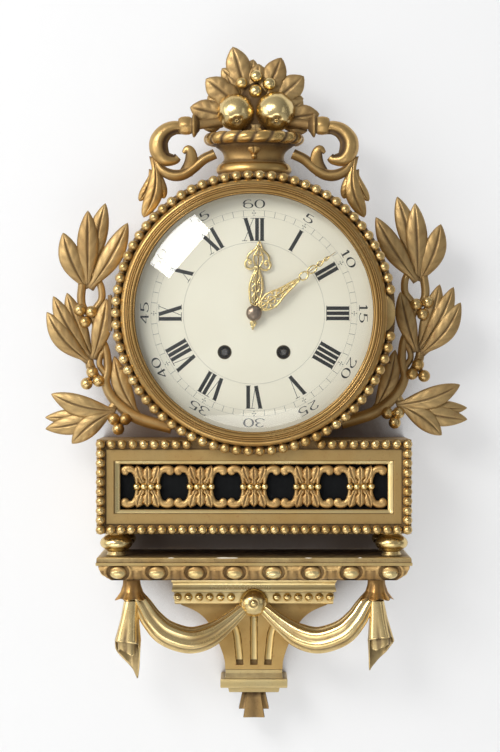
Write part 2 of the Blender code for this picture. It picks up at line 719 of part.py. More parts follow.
cap_top = moulding_bottom - GAP
cap_bottom = cap_top - CAP_H
cap_low_w = CAP_HALF_W - 0.7 * CAP_STEP
cap_low_front = CAP_FRONT - CAP_STEP
cap = [stack("cap", [(cap_top, CAP_HALF_W, CAP_FRONT), (cap_top - 0.25 * CAP_H, CAP_HALF_W, CAP_FRONT),
                     (cap_top - 0.43 * CAP_H, cap_low_w, cap_low_front), (cap_bottom, cap_low_w,
                                                                          cap_low_front)],
             GILT)]
cap_bead_z = cap_bottom + CAP_BEAD_R + 1.5
for side in (-1, 1):
    last = side * (cap_low_w - CAP_BEAD_R)
    inner = last - side * CAP_BEAD_PITCH * (CAP_BEADS - 1)
    ahead = cap_low_front + 0.1 * CAP_BEAD_R
    beads, factors = bead_points([(last, ahead, cap_bead_z), (inner, ahead, cap_bead_z)], CAP_BEAD_PITCH)
    cap.append(tube("cap_beads", beads, CAP_BEAD_R, GILT, radii=factors))
fused("console_cap", cap)

body_top = cap_bottom - GAP
body_bottom = body_top - BODY_H
BODY_CURVE = ((1.0, 0.0), (0.63, 0.083), (0.356, 0.266), (0.128, 0.625), (0.018, 0.855), (0.0, 1.0))
half_body = [(BODY_WAIST + out * (BODY_HALF_W - BODY_WAIST), body_top - down * BODY_H) for out,
             down in BODY_CURVE]
right_edge = smooth(half_body, 2)
body = outline("console_body", [[*right_edge, *((-x, z) for x, z in reversed(right_edge))]], 0.0, BODY_FRONT,
               GILT)
flutes = []
for lean in (-1, 0, 1):
    top = (lean * FLUTE_X, BODY_FRONT + 0.3 * FLUTE_R, body_top - 0.29 * BODY_H)
    low = (lean * 0.7 * FLUTE_X, BODY_FRONT + 0.3 * FLUTE_R, body_top - 0.92 * BODY_H)
    flutes.append(tube("flute", [top, low], FLUTE_R * (1.0 if lean == 0 else 0.8), GILT))
cut(body, *flutes)

foot_block_top = body_bottom - GAP
foot_block_bottom = foot_block_top - CONSOLE_FOOT_H
foot_step = 6.5
stack("console_foot", [(foot_block_top, CONSOLE_FOOT_HALF_W, CONSOLE_FOOT_FRONT),
                       (foot_block_top - 0.7 * CONSOLE_FOOT_H, CONSOLE_FOOT_HALF_W, CONSOLE_FOOT_FRONT),
                       (foot_block_top - 0.8 * CONSOLE_FOOT_H, CONSOLE_FOOT_HALF_W - foot_step,
                        CONSOLE_FOOT_FRONT - foot_step),
                       (foot_block_bottom, CONSOLE_FOOT_HALF_W - 1.3 * foot_step,
                        CONSOLE_FOOT_FRONT - 1.3 * foot_step)], GILT)

pendant_top = foot_block_bottom - GAP
PENDANT_EDGE = ((0.76, 0.0), (1.0, 0.68), (0.62, 0.70), (0.71, 1.0))
half_pendant = [(out * PENDANT_HALF_W, pendant_top - down * PENDANT_H) for out, down in PENDANT_EDGE]
pendant_front = CONSOLE_FOOT_FRONT - 2 * foot_step
outline("console_pendant", [[*half_pendant, *((-x, z) for x, z in reversed(half_pendant))]],
        pendant_front - PENDANT_DEPTH, pendant_front, GILT)

boss_back = cap_low_front + GAP
boss_z = cap_top - 0.45 * CAP_H - BOSS_R
turned("boss", [(0, boss_back + BOSS_RISE), (0.45 * BOSS_R, boss_back + 0.9 * BOSS_RISE),
                (0.8 * BOSS_R, boss_back + 0.6 * BOSS_RISE), (BOSS_R, boss_back), (0, boss_back)], 12,
       BRIGHT_GILT, z=boss_z)

# Drapery: on each side a swag from the boss, a gathered cuff under the shelf, and a hanging tail

# Along a swag: share of the way out to the tail, of the way forward from the boss, drop below the cuff's top
SWAG_LINE = ((0.137, 0.0, 36.4), (0.234, 0.125, 47.6), (0.371, 0.375, 58.7), (0.532, 0.625, 62.6),
             (0.718, 0.875, 54.6),
             (0.839, 1.0, 38.8), (0.919, 1.0, 23.4))
SWAG_SWELL = (0.35, 0.6, 0.9, 1.0, 0.95, 0.85, 0.75)
SWAG_FOLDS = (-0.62, 0.0, 0.62)
TAIL_SWELL = ((0.0, 0.6), (0.25, 0.8), (0.53, 1.0), (0.72, 0.8), (0.87, 0.5),
              (1.0, 0.1))   # share of drop, of radius
cuff_top = moulding_bottom - GAP
tail_top = cuff_top - CUFF_H
swag_forward = boss_back + 0.75 * BOSS_RISE


def drapery(name, side):
    """A swag of three folds, the cuff that gathers it and its tail, as one carved piece."""
    reach = TAIL_FORWARD - swag_forward
    route = [(side * out * TAIL_X, swag_forward + ahead * reach, cuff_top - drop) for out, ahead,
             drop in SWAG_LINE]
    pieces = []
    for fold in SWAG_FOLDS:
        line = []
        for i, point in enumerate(route):
            ahead = Vector(route[min(i + 1, len(route) - 1)])
            behind = Vector(route[max(i - 1, 0)])
            run = (ahead - behind).normalized()
            across = Vector((-run.z, 0.0, run.x))
            line.append(tuple(Vector(point) + across * fold * SWAG_SWELL[i] * SWAG_R))
        pieces.append(tube("fold", line, 0.55 * SWAG_R, GILT, radii=SWAG_SWELL))
    pieces.append(turned("cuff", [(0, cuff_top), (0.55 * CUFF_R, cuff_top),
                                  (0.6 * CUFF_R, cuff_top - 0.4 * CUFF_H),
                                  (CUFF_R, tail_top), (0, tail_top)], 10, GILT, x=side * TAIL_X,
                         upright=TAIL_FORWARD))
    drop = [(side * (TAIL_X - 5 * share ** 3), TAIL_FORWARD, tail_top + 2 - share * TAIL_H) for share,
            _ in TAIL_SWELL]
    pieces.append(tube("tail", drop, TAIL_R, GILT, resolution=2, radii=[s for _, s in TAIL_SWELL]))
    return fused(name, pieces)


drapery("drapery_left", -1)
drapery("drapery_right", 1)

# Crest: the urn and its bunch of fruit

LEAF_STATIONS = ((0.0, 0.35), (0.45, 1.0), (0.8, 0.7))   # share of length, of width


def leaf(base, tip, width, forward, lift=5.0):
    """A pointed leaf with a raised midrib and a flat back, bowed towards the room by the lift."""
    start = Vector((base[0], 0.0, base[1]))
    run = Vector((tip[0], 0.0, tip[1])) - start
    across = Vector((-run.z, 0.0, run.x)).normalized() * width / 2
    points = []
    for along, swell in LEAF_STATIONS:
        middle = start + run * along + Vector((0.0, -forward - lift * math.sin(math.pi * along), 0.0))
        points += [middle + across * swell, middle + Vector((0.0, -LEAF_T * swell, 0.0)),
                   middle - across * swell]
    points.append(start + run + Vector((0.0, -forward - 1.0, 0.0)))
    last = len(LEAF_STATIONS) - 1
    faces = [(0, 1, 2)]
    for side in range(3):
        after = (side + 1) % 3
        faces += [(3 * k + side, 3 * k + 3 + side, 3 * k + 3 + after, 3 * k + after) for k in range(last)]
        faces.append((3 * last + side, 3 * last + 3, 3 * last + after))
    mesh = bpy.data.meshes.new("leaf")
    mesh.from_pydata([p * MM for p in points], [], faces)
    return place(bpy.data.objects.new("leaf", mesh), GILT)


def flattened(piece, forward, share):
    """The piece with its depth about a plane in front of the wall reduced to a share."""
    for vert in piece.data.vertices:
        vert.co.y = -forward * MM + (vert.co.y + forward * MM) * share
    return piece


rim = 0.083 * URN_RIM_R
urn = turned(
    "urn",
    [(0, URN_TOP + rim), (0.7 * URN_RIM_R, URN_TOP + 0.6 * rim), (URN_RIM_R - rim, URN_TOP),
     (URN_RIM_R, URN_TOP - rim),
     (URN_RIM_R - rim, URN_TOP - 2 * rim), (0.8 * URN_RIM_R, URN_TOP - 2.2 * rim),
     (0.6 * URN_RIM_R, URN_TOP - 0.31 * URN_BODY_H),
     (0.64 * URN_RIM_R, URN_TOP - 0.46 * URN_BODY_H), (0.71 * URN_RIM_R, URN_TOP - 0.6 * URN_BODY_H),
     (0.75 * URN_RIM_R, URN_TOP - 0.81 * URN_BODY_H), (0.75 * URN_RIM_R, URN_TOP - URN_BODY_H),
     (0, URN_TOP - URN_BODY_H)],
    20, GILT, upright=URN_FORWARD,
)
cut(flattened(urn, URN_FORWARD, URN_DEPTH), drum_cutter())

bed_z = URN_TOP + rim + GAP
CORE_R = 13.0
CORE_H = 57.0
STALK_R = 2.4
# The bunch is laid out by (x, height above the rim): apples and berries with their radii, leaves with widths
APPLES = ((-18.2, 24.4, 18.6), (21.3, 25.0, 19.4))
CREST_BERRIES = ((2.1, 59.0, 6.3), (-11.7, 52.5, 5.6), (15.2, 51.3, 6.0), (2.1, 45.4, 6.5))
CREST_LEAVES = (((-4.0, 33.0), (-21.6, 92.8), 21.0), ((6.0, 33.0), (28.1, 80.9), 20.0),
                ((-10.0, 29.0), (-49.1, 59.0), 20.0), ((12.0, 29.0), (51.0, 61.9), 20.0),
                ((-20.0, 17.0), (-65.3, 30.0), 17.0), ((22.0, 17.0), (66.8, 23.0), 17.0))
bunch = [tube("core", [(0.0, URN_FORWARD, bed_z), (1.0, URN_FORWARD, URN_TOP + 0.42 * CORE_H),
                       (2.0, URN_FORWARD, URN_TOP + CORE_H)], CORE_R, GILT, radii=[1.0, 1.0, 0.4])]
for x, up, r in APPLES:
    bunch.append(ball("apple", x, URN_FORWARD + 4, URN_TOP + up, r, BRIGHT_GILT, 8, 6))
for x, up, r in CREST_BERRIES:
    bunch.append(ball("berry", x, URN_FORWARD + 5, URN_TOP + up, r, BRIGHT_GILT, 6, 4))
for base, tip, width in CREST_LEAVES:
    bunch.append(leaf((base[0], URN_TOP + base[1]), (tip[0], URN_TOP + tip[1]), width, URN_FORWARD))
COLLAR_AT = (0.481, 1.370)   # in drum radii, as the scrolls' other points
collar_x = COLLAR_AT[0] * DRUM_R
collar_z = COLLAR_AT[1] * DRUM_R
for side in (-1, 1):
    bunch.append(tube("stalk", [(side * APPLES[1][0], URN_FORWARD, URN_TOP + 0.6 * APPLES[1][1]),
                                (side * (collar_x - COLLAR_R - GAP), SCROLL_FORWARD,
                                 collar_z)], STALK_R, GILT))
fused("fruit_bunch", bunch)

# Scrolls at the shoulders, each with a curl and a hanging leaf, pegged into the drum. Their points, and the
# laurels' below, are in drum radii for the left side, so they follow the drum.

C_SCROLL = ((-0.519, 1.349), (-0.577, 1.354), (-0.644, 1.324), (-0.690, 1.258), (-0.686, 1.182),
            (-0.644, 1.132), (-0.594, 1.115))
C_SWELL = (1.05, 1.2, 1.4, 1.6, 1.6, 1.35, 0.9)
S_STEM = ((-0.697, 1.101), (-0.665, 1.044), (-0.594, 1.011), (-0.519, 1.015), (-0.444, 1.061),
          (-0.368, 1.124), (-0.293, 1.161))
S_SWELL = (0.65, 0.82, 0.97, 0.97, 0.93, 0.9, 0.88)
CURL = ((-0.537, 1.003), (-0.479, 1.083), (-0.450, 1.162), (-0.471, 1.228))
CURL_SWELL = (0.5, 0.75, 0.7, 0.3)


SCROLL_LEAF = ((-0.728, 1.132), (-0.801, 0.700))
SCROLL_LEAF_W = 20.0
PEG_R = 2.5


def lifted(points, forward, side):
    """Points in drum radii for the left side as (x, forward, z) on the given side."""
    return [(-side * x * DRUM_R, forward, z * DRUM_R) for x, z in points]


def scroll(name, side):
    """The collar, C, S, curl, leaf and peg of one shoulder as one carved piece."""
    pieces = [ball("collar", side * collar_x, SCROLL_FORWARD, collar_z, COLLAR_R, GILT, 8, 6)]
    for line, swell, spans in ((C_SCROLL, C_SWELL, 2), (S_STEM, S_SWELL, 1), (CURL, CURL_SWELL, 1)):
        factors = [v[0] for v in smooth([(s, 0.0, 0.0) for s in swell], spans)]
        pieces.append(tube("bar", smooth(lifted(line, SCROLL_FORWARD, side), spans), SCROLL_R, GILT,
                           radii=factors))
    base, tip = ((x, z) for x, _, z in lifted(SCROLL_LEAF, SCROLL_FORWARD, side))
    pieces.append(leaf(base, tip, SCROLL_LEAF_W, SCROLL_FORWARD, lift=4.0))
    foot = Vector(S_STEM[2])
    seat = foot.normalized() * DRUM_SEAT_R / DRUM_R
    pieces.append(tube("peg", lifted([tuple(foot), tuple(seat)], SCROLL_FORWARD, side), PEG_R, GILT))
    return fused(name, pieces)


scroll("scroll_left", -1)
scroll("scroll_right", 1)

# Laurel sprays at the sides, pegged into the drum

STEM = ((-0.630, -0.814), (-0.854, -0.754), (-1.010, -0.636), (-1.081, -0.509), (-1.066, -0.384),
        (-1.081, -0.260),
        (-1.117, -0.172), (-1.176, -0.026), (-1.234, 0.084), (-1.241, 0.243))
TWIGS = (((-1.071, -0.343), (-1.143, -0.321), (-1.221, -0.314)),
         ((-1.010, -0.636), (-1.057, -0.707), (-1.071, -0.721)),
         ((-1.234, 0.100), (-1.186, 0.200), (-1.179, 0.286)),
         ((-1.081, -0.493), (-1.143, -0.468), (-1.182, -0.443), (-1.207, -0.489)),
         ((-0.893, -0.739), (-0.939, -0.761), (-0.990, -0.786), (-0.990, -0.829)))
LEAVES = (
    ((-1.234, 0.214), (-1.395, 0.597)), ((-1.225, 0.236), (-1.212, 0.760)), ((-1.186, 0.271),
                                                                             (-1.096, 0.814)),
    ((-1.200, 0.214), (-0.920, 0.668)), ((-1.212, -0.348), (-1.512, 0.018)), ((-1.207, -0.319),
                                                                              (-1.466, 0.120)),
    ((-1.198, -0.300), (-1.382, 0.137)), ((-1.169, -0.329), (-1.081, 0.101)), ((-1.036, -0.693),
                                                                               (-1.480, -0.589)),
    ((-1.057, -0.693), (-1.532, -0.754)), ((-1.051, -0.707), (-1.525, -0.837)), ((-1.051, -0.721),
                                                                                 (-1.322, -0.936)),
    ((-0.871, -0.729), (-1.022, -0.304)),
)
BERRIES = ((-1.271, 0.032), (-1.186, 0.018), (-1.231, -0.056), (-1.179, -0.421), (-1.220, -0.506),
           (-1.134, -0.486),
           (-1.022, -0.764), (-0.939, -0.764), (-0.990, -0.836))


def laurel(name, side):
    """A spray of stem, twigs, leaves and berries as one carved piece."""
    turn = math.radians(RIGHT_LAUREL_TURN) if side > 0 else 0.0

    def put(x, z):
        across = -side * x * DRUM_R
        up = z * DRUM_R
        return across * math.cos(turn) - up * math.sin(turn), across * math.sin(turn) + up * math.cos(turn)

    def raised(points, forward):
        return [(x, forward, z) for x, z in (put(*p) for p in points)]

    taper = [1.0 - 0.4 * i / (len(STEM) - 1) for i in range(len(STEM))]
    pieces = [tube("stem", raised(STEM, LAUREL_FORWARD), LAUREL_STEM_R, GILT, resolution=0, radii=taper)]
    for twig in TWIGS:
        pieces.append(tube("twig", raised(twig, LAUREL_FORWARD), 0.6 * LAUREL_STEM_R, GILT, resolution=0))
    for i, (base, tip) in enumerate(LEAVES):
        ahead = LAUREL_FORWARD + 2.0 * (i % 3 - 1)
        pieces.append(leaf(put(*base), put(*tip), LAUREL_LEAF_W, ahead))
    for x, z in BERRIES:
        px, pz = put(x, z)
        pieces.append(ball("berry", px, LAUREL_FORWARD + 4, pz, BERRY_R, BRIGHT_GILT, 5, 4))
    for held in (STEM[4], STEM[1]):
        seat = Vector(held).normalized() * DRUM_SEAT_R / DRUM_R
        pieces.append(tube("peg", raised([held, tuple(seat)], LAUREL_FORWARD), PEG_R, GILT, resolution=0))
    return fused(name, pieces)


laurel("laurel_left", -1)
laurel("laurel_right", 1)

# Movement: seat board, plates and pillars

CENTRE = (0.0, 0.0)
GOING = (WINDING_X, WINDING_Z)
STRIKE = (-WINDING_X, WINDING_Z)
ESCAPE = (0.0, ESCAPE_Z)
ANCHOR = (0.0, ANCHOR_Z)


def span(a, b):
    """The distance between two places in the dial's plane."""
    return math.hypot(b[0] - a[0], b[1] - a[1])


def bearing(a, b):
    """The direction from one place to another, anticlockwise from the right."""
    return math.atan2(b[1] - a[1], b[0] - a[0])


def polar(origin, angle, distance):
    """The place at a distance from another in a direction."""
    return origin[0] + distance * math.cos(angle), origin[1] + distance * math.sin(angle)


seat_half_w = math.sqrt((DRUM_BORE_R - 2 * GAP) ** 2 - (PLATE_BOTTOM - GAP - SEAT_T) ** 2)
block("seat_board", -seat_half_w, seat_half_w, BACK_PLATE - PLATE_T, FRONT_PLATE + PLATE_T,
      PLATE_BOTTOM - GAP - SEAT_T, PLATE_BOTTOM - GAP, BARE_WOOD)

HOLE_SIDES = 6
pillar_ends = [(x, z) for x in (-PILLAR_X, PILLAR_X) for z in (PLATE_BOTTOM + 6.0, PLATE_TOP - 6.0)]
pillar_end_r = 0.6 * PILLAR_R
small_pivots = [ESCAPE, HAMMER_AT]


def plate_loops(bored):
    """The outline of a plate and its holes, each (place, radius), with their corners turned apart."""
    loops = [rectangle(PLATE_HALF_W, PLATE_TOP, PLATE_BOTTOM)]
    for i, (at, radius) in enumerate(bored):
        loops.append(circle(*at, radius / math.cos(math.pi / HOLE_SIDES), HOLE_SIDES, start=0.13 * i))
    return loops


pivot_bores = [(at, PIVOT_R + PIVOT_GAP) for at in small_pivots]
barrel_bores = [(at, WINDING_ARBOR_R + PIVOT_GAP + 0.1) for at in (GOING, STRIKE)]
arbor_bore = ARBOR_R + PIVOT_GAP + 0.1
front_bores = [*pivot_bores, *barrel_bores, (CENTRE, arbor_bore), (ANCHOR, PIVOT_R + PIVOT_GAP),
               *((at, pillar_end_r + GAP) for at in pillar_ends)]
back_bores = [*pivot_bores, *barrel_bores, (CENTRE, PIVOT_R + PIVOT_GAP), (ANCHOR, arbor_bore)]

# The wheels between the front plate and the dial, each (back, front)
CANNON = (FRONT_PLATE + 0.8, FRONT_PLATE + 4.0)
MINUTE_WHEEL = (FRONT_PLATE + 1.2, FRONT_PLATE + 3.5)
MINUTE_LEAVES = (FRONT_PLATE + 3.0, FRONT_PLATE + 7.5)
HOUR_WHEEL = (FRONT_PLATE + 5.0, FRONT_PLATE + 7.0)
STUD_R = 1.5
STUD_FRONT = FRONT_PLATE + 8.0
stud = turned("stud", [(0, STUD_FRONT), (STUD_R, STUD_FRONT), (STUD_R, FRONT_PLATE - 1),
                       (0, FRONT_PLATE - 1)], 8,
              STEEL, *MINUTE_WHEEL_AT)
fused("front_plate", [outline("plate", plate_loops(front_bores), FRONT_PLATE - PLATE_T, FRONT_PLATE, BRASS),
                      stud])
back_pieces = [outline("plate", plate_loops(back_bores), BACK_PLATE - PLATE_T, BACK_PLATE, BRASS)]
pillar_front = FRONT_PLATE - PLATE_T - GAP
for x, z in pillar_ends:
    back_pieces.append(turned("pillar", [(0, FRONT_PLATE + 1.5), (pillar_end_r, FRONT_PLATE + 1.5),
                                         (pillar_end_r, pillar_front), (PILLAR_R, pillar_front),
                                         (PILLAR_R, BACK_PLATE - 1), (0, BACK_PLATE - 1)], 6, BRASS, x, z))
fused("back_plate", back_pieces)

# Wheels and arbors of the going train and the strike

TIP = 0.35           # height of a tooth above its pitch circle, in modules
ROOT = 0.75          # depth of a gap below it
ENDSHAKE = 0.4


def pitch_r(teeth, mate, distance):
    """The pitch radius of a wheel that meshes with another at a distance."""
    return distance * teeth / (teeth + mate)


def wheel(at, teeth, radius, phase, back, front):
    """A toothed wheel with pointed teeth, one of them in the direction of the phase."""
    module = 2 * radius / teeth
    points = []
    for i in range(teeth):
        points.append(polar(at, phase + 2 * math.pi * i / teeth, radius + TIP * module))
        points.append(polar(at, phase + 2 * math.pi * (i + 0.5) / teeth, radius - ROOT * module))
    return outline("wheel", [points], back, front, BRASS)


def mate_phase(at, teeth, phase, mate_at, mate_teeth):
    """The phase of a wheel that puts one of its gaps where the other wheel's tooth comes."""
    way = bearing(at, mate_at)
    past = (way - phase) / (2 * math.pi / teeth)
    return way + math.pi + (past + 0.5) * 2 * math.pi / mate_teeth


def arbor(name, at, radius, pieces):
    """An arbor with a pivot at each plate, fused with its wheels."""
    back_end = BACK_PLATE - PLATE_T
    shoulder = FRONT_PLATE - PLATE_T - ENDSHAKE
    profile = [(0, FRONT_PLATE), (PIVOT_R, FRONT_PLATE), (PIVOT_R, shoulder), (radius, shoulder),
               (radius, BACK_PLATE + ENDSHAKE), (PIVOT_R, BACK_PLATE + ENDSHAKE), (PIVOT_R, back_end),
               (0, back_end)]
    return fused(name, [turned("arbor", profile, 8, STEEL, *at), *pieces])


barrel_bore = WINDING_ARBOR_R + PIVOT_GAP


def barrel(name, at):
    """A spring barrel with its great wheel's rim, bored for the winding arbor."""
    return turned(name, [(BARREL_R, BARREL_FRONT), (BARREL_R, GREAT_FRONT), (GREAT_R, GREAT_FRONT),
                         (GREAT_R, GREAT_BACK), (barrel_bore, GREAT_BACK),
                         (barrel_bore, BARREL_FRONT)], 16, BRASS,
                  *at, closed=True)


def winding_arbor(name, at):
    """A winding arbor from the back plate to its square behind the dial's hole."""
    square_front = DIAL_BACK + DIAL_T + 2.0
    square_back = FRONT_PLATE + 6.0
    half = WINDING_SQUARE / 2
    bar = turned("bar", [(0, square_back + 1), (WINDING_ARBOR_R, square_back + 1),
                         (WINDING_ARBOR_R, BACK_PLATE - PLATE_T), (0, BACK_PLATE - PLATE_T)], 12, STEEL, *at)
    square = block("square", at[0] - half, at[0] + half, square_back, square_front, at[1] - half,
                   at[1] + half, STEEL)
    return fused(name, [bar, square])


for train, at in (("going", GOING), ("strike", STRIKE)):
    barrel(f"{train}_barrel", at)
    winding_arbor(f"{train}_winding_arbor", at)

cannon_gap = span(CENTRE, MINUTE_WHEEL_AT)
HAND_CLEARANCE = 2.8
HAND_STEP = 5.0      # from the hour hand forward to the minute hand
HOUR_HAND_BACK = DIAL_BACK + DIAL_T + DIAL_RISE + HAND_CLEARANCE
MINUTE_HAND_BACK = HOUR_HAND_BACK + HAND_STEP
fused("centre_arbor", [
    turned("arbor", [(0, MINUTE_HAND_BACK + 3.0), (CENTRE_ARBOR_R, MINUTE_HAND_BACK + 3.0),
                     (CENTRE_ARBOR_R, CANNON[1]),
                     (ARBOR_R, CANNON[1]), (ARBOR_R, BACK_PLATE + ENDSHAKE), (PIVOT_R, BACK_PLATE + ENDSHAKE),
                     (PIVOT_R, BACK_PLATE - PLATE_T), (0, BACK_PLATE - PLATE_T)], 8, STEEL),
    wheel(CENTRE, CANNON_TEETH, pitch_r(CANNON_TEETH, MINUTE_TEETH, cannon_gap), 0.0, *CANNON),
])

ESCAPE_BACK = 46.0
ESCAPE_FRONT = 48.0
escape_outline = []
for i in range(ESCAPE_TEETH):
    escape_outline.append(polar(ESCAPE, 2 * math.pi * i / ESCAPE_TEETH, ESCAPE_R))
    escape_outline.append(polar(ESCAPE, 2 * math.pi * (i + 0.3) / ESCAPE_TEETH, 0.84 * ESCAPE_R))
arbor("escape_wheel", ESCAPE, ARBOR_R, [outline("escape", [escape_outline], ESCAPE_BACK, ESCAPE_FRONT,
                                                BRASS)])

CRUTCH_BACK = 26.0
CRUTCH_FRONT = 28.0
CRUTCH_LOW = 8.0
FORK_GAP = 1.0
ANCHOR_EDGE = ((0.0, 4.0), (5.0, 2.5), (16.0, -8.0), (16.5, -12.0), (13.4, -11.8), (11.5, -8.8), (3.5, -3.0),
               (0.0, -3.5))
half_anchor = [(x, ANCHOR_Z + up) for x, up in ANCHOR_EDGE]
anchor_outline = [*half_anchor, *((-x, z) for x, z in reversed(half_anchor[1:-1]))]
fork = [block("fork", side * (ROD_HALF_W + FORK_GAP + 1) - 1, side * (ROD_HALF_W + FORK_GAP + 1) + 1,
              PENDULUM_FORWARD - 3, CRUTCH_FRONT, CRUTCH_LOW - 1.5, CRUTCH_LOW + 1.5, STEEL) for side in
              (-1, 1)]
fused("anchor", [
    turned("arbor", [(0, FRONT_PLATE), (PIVOT_R, FRONT_PLATE), (PIVOT_R, FRONT_PLATE - PLATE_T - ENDSHAKE),
                     (ARBOR_R, FRONT_PLATE - PLATE_T - ENDSHAKE), (ARBOR_R, CRUTCH_BACK + 0.4),
                     (0, CRUTCH_BACK + 0.4)],
           8, STEEL, *ANCHOR),
    outline("pallets", [anchor_outline], ESCAPE_BACK, ESCAPE_FRONT, STEEL),
    block("crutch", -1.6, 1.6, CRUTCH_BACK, CRUTCH_FRONT, CRUTCH_LOW, ANCHOR_Z + 0.5 * ARBOR_R, STEEL),
    block("yoke", -ROD_HALF_W - FORK_GAP - 2, ROD_HALF_W + FORK_GAP + 2, CRUTCH_BACK, CRUTCH_FRONT,
          CRUTCH_LOW - 1.5,
          CRUTCH_LOW + 1.5, STEEL),
    *fork,
])

# Bell and hammer

bell_top = BELL_BASE + BELL_H
BELL_T = 2.0
BELL_CURVE = ((0.4, 1.0), (0.75, 0.86), (0.93, 0.56), (1.0, 0.0))   # share of radius, of height
bell_outside = [(r * BELL_R, BELL_BASE + h * BELL_H) for r, h in BELL_CURVE]
bell_inside = [(r - BELL_T, h - BELL_T if h > BELL_BASE else h) for r, h in reversed(bell_outside)]
turned("bell", [(0, bell_top), *bell_outside, *bell_inside, (0, bell_top - BELL_T)], 16, BELL_METAL,
       upright=BELL_FORWARD)
stand_foot = BACK_PLATE + GAP
fused("bell_stand", [
    block("foot", -4.0, 4.0, stand_foot, stand_foot + 5.0, ANCHOR_Z + 5.0, PLATE_TOP, STEEL),
    tube("post", [(0.0, stand_foot + 3.0, PLATE_TOP - 3.0), (0.0, BELL_FORWARD, PLATE_TOP + 10.0),
                  (0.0, BELL_FORWARD, bell_top - BELL_T - GAP)], 2.5, STEEL),
])

HAMMER_BACK = 44.5
HAMMER_FRONT = 47.5
HAMMER_HEAD_R = 4.0
HAMMER_STRIKE_GAP = 1.0
head_x = -BELL_R - HAMMER_STRIKE_GAP - HAMMER_HEAD_R
head_z = BELL_BASE + 0.2 * BELL_H
hx, hz = HAMMER_AT
arm = outline("arm", [[(hx - 2, hz - 3), (hx + 2, hz - 3), (head_x + 1.5, head_z), (head_x - 1.5, head_z)]],
              HAMMER_BACK, HAMMER_FRONT, STEEL)
head = turned("head", [(0, BELL_FORWARD + 5), (HAMMER_HEAD_R, BELL_FORWARD + 5),
                       (HAMMER_HEAD_R, BELL_FORWARD - 5),
                       (0, BELL_FORWARD - 5)], 8, STEEL, head_x, head_z)
arbor("hammer", HAMMER_AT, ARBOR_R, [arm, head])

# Motion work and hands

minute_r = pitch_r(MINUTE_TEETH, CANNON_TEETH, cannon_gap)
minute_phase = mate_phase(CENTRE, CANNON_TEETH, 0.0, MINUTE_WHEEL_AT, MINUTE_TEETH)
stud_bore = outline("bore", [circle(*MINUTE_WHEEL_AT, STUD_R + GAP, 8)], FRONT_PLATE, STUD_FRONT + 5, BRASS)
minute_pieces = [
    wheel(MINUTE_WHEEL_AT, MINUTE_TEETH, minute_r, minute_phase, *MINUTE_WHEEL),
    wheel(MINUTE_WHEEL_AT, MINUTE_PINION_TEETH, pitch_r(MINUTE_PINION_TEETH, HOUR_TEETH, cannon_gap), 0.0,
          *MINUTE_LEAVES),
]
cut(fused("minute_wheel", minute_pieces), stud_bore)

hour_phase = mate_phase(MINUTE_WHEEL_AT, MINUTE_PINION_TEETH, 0.0, CENTRE, HOUR_TEETH)
pipe_bore = CENTRE_ARBOR_R + PIVOT_GAP
hour_hand_front = HOUR_HAND_BACK + HAND_T
hour_pieces = [
    wheel(CENTRE, HOUR_TEETH, pitch_r(HOUR_TEETH, MINUTE_PINION_TEETH, cannon_gap), hour_phase, *HOUR_WHEEL),
    turned("pipe", [(0, hour_hand_front), (HOUR_PIPE_R, hour_hand_front), (HOUR_PIPE_R, HOUR_WHEEL[0]),
                    (0, HOUR_WHEEL[0])], 10,
           BRASS),
]
cut(fused("hour_wheel", hour_pieces),
    outline("bore", [circle(0, 0, pipe_bore, 8)], HOUR_WHEEL[0] - 3, hour_hand_front + 3, BRASS))


def hand(name, degrees, edge, piercings, bore_r, back):
    """A flat pierced hand. The edge is (distance along it, half width) points from the tail to the tip."""
    turn = math.radians(degrees)

    def put(along, aside):
        x = along * math.sin(turn) + aside * math.cos(turn)
        return x, along * math.cos(turn) - aside * math.sin(turn)

    sides = [put(along, half) for along, half in edge] + [put(along, -half) for along,
                                                          half in reversed(edge[:-1])]
    loops = [sides, circle(0, 0, bore_r, 8, start=0.1)]
    for near, far, half in piercings:
        loops.append([put(near, 0.0), put((near + far) / 2, half), put(far, 0.0),
                      put((near + far) / 2, -half)])
    return outline(name, loops, back, back + HAND_T, BRASS)


BOSS_EDGE = ((-6.2, 0.8), (-4.2, 4.6), (0.0, 6.3), (4.2, 4.6))
hour_edge = [(-HOUR_TAIL, 2.6), (-HOUR_TAIL + 4, 3.4), (-8.0, 1.5), *BOSS_EDGE[1:], (7.0, 1.8),
             (0.20 * HOUR_HAND_L, 1.8), (0.32 * HOUR_HAND_L, 6.0),
             (0.45 * HOUR_HAND_L, 1.8),
             (0.58 * HOUR_HAND_L, 1.8), (0.74 * HOUR_HAND_L, 6.4), (0.90 * HOUR_HAND_L, 1.4),
             (HOUR_HAND_L, 0.0)]
hour_piercings = [(0.24 * HOUR_HAND_L, 0.40 * HOUR_HAND_L, 3.0),
                  (0.65 * HOUR_HAND_L, 0.84 * HOUR_HAND_L, 3.2)]
hand("hour_hand", HOUR_HAND_DEG, hour_edge, hour_piercings, HOUR_PIPE_R + GAP, HOUR_HAND_BACK)

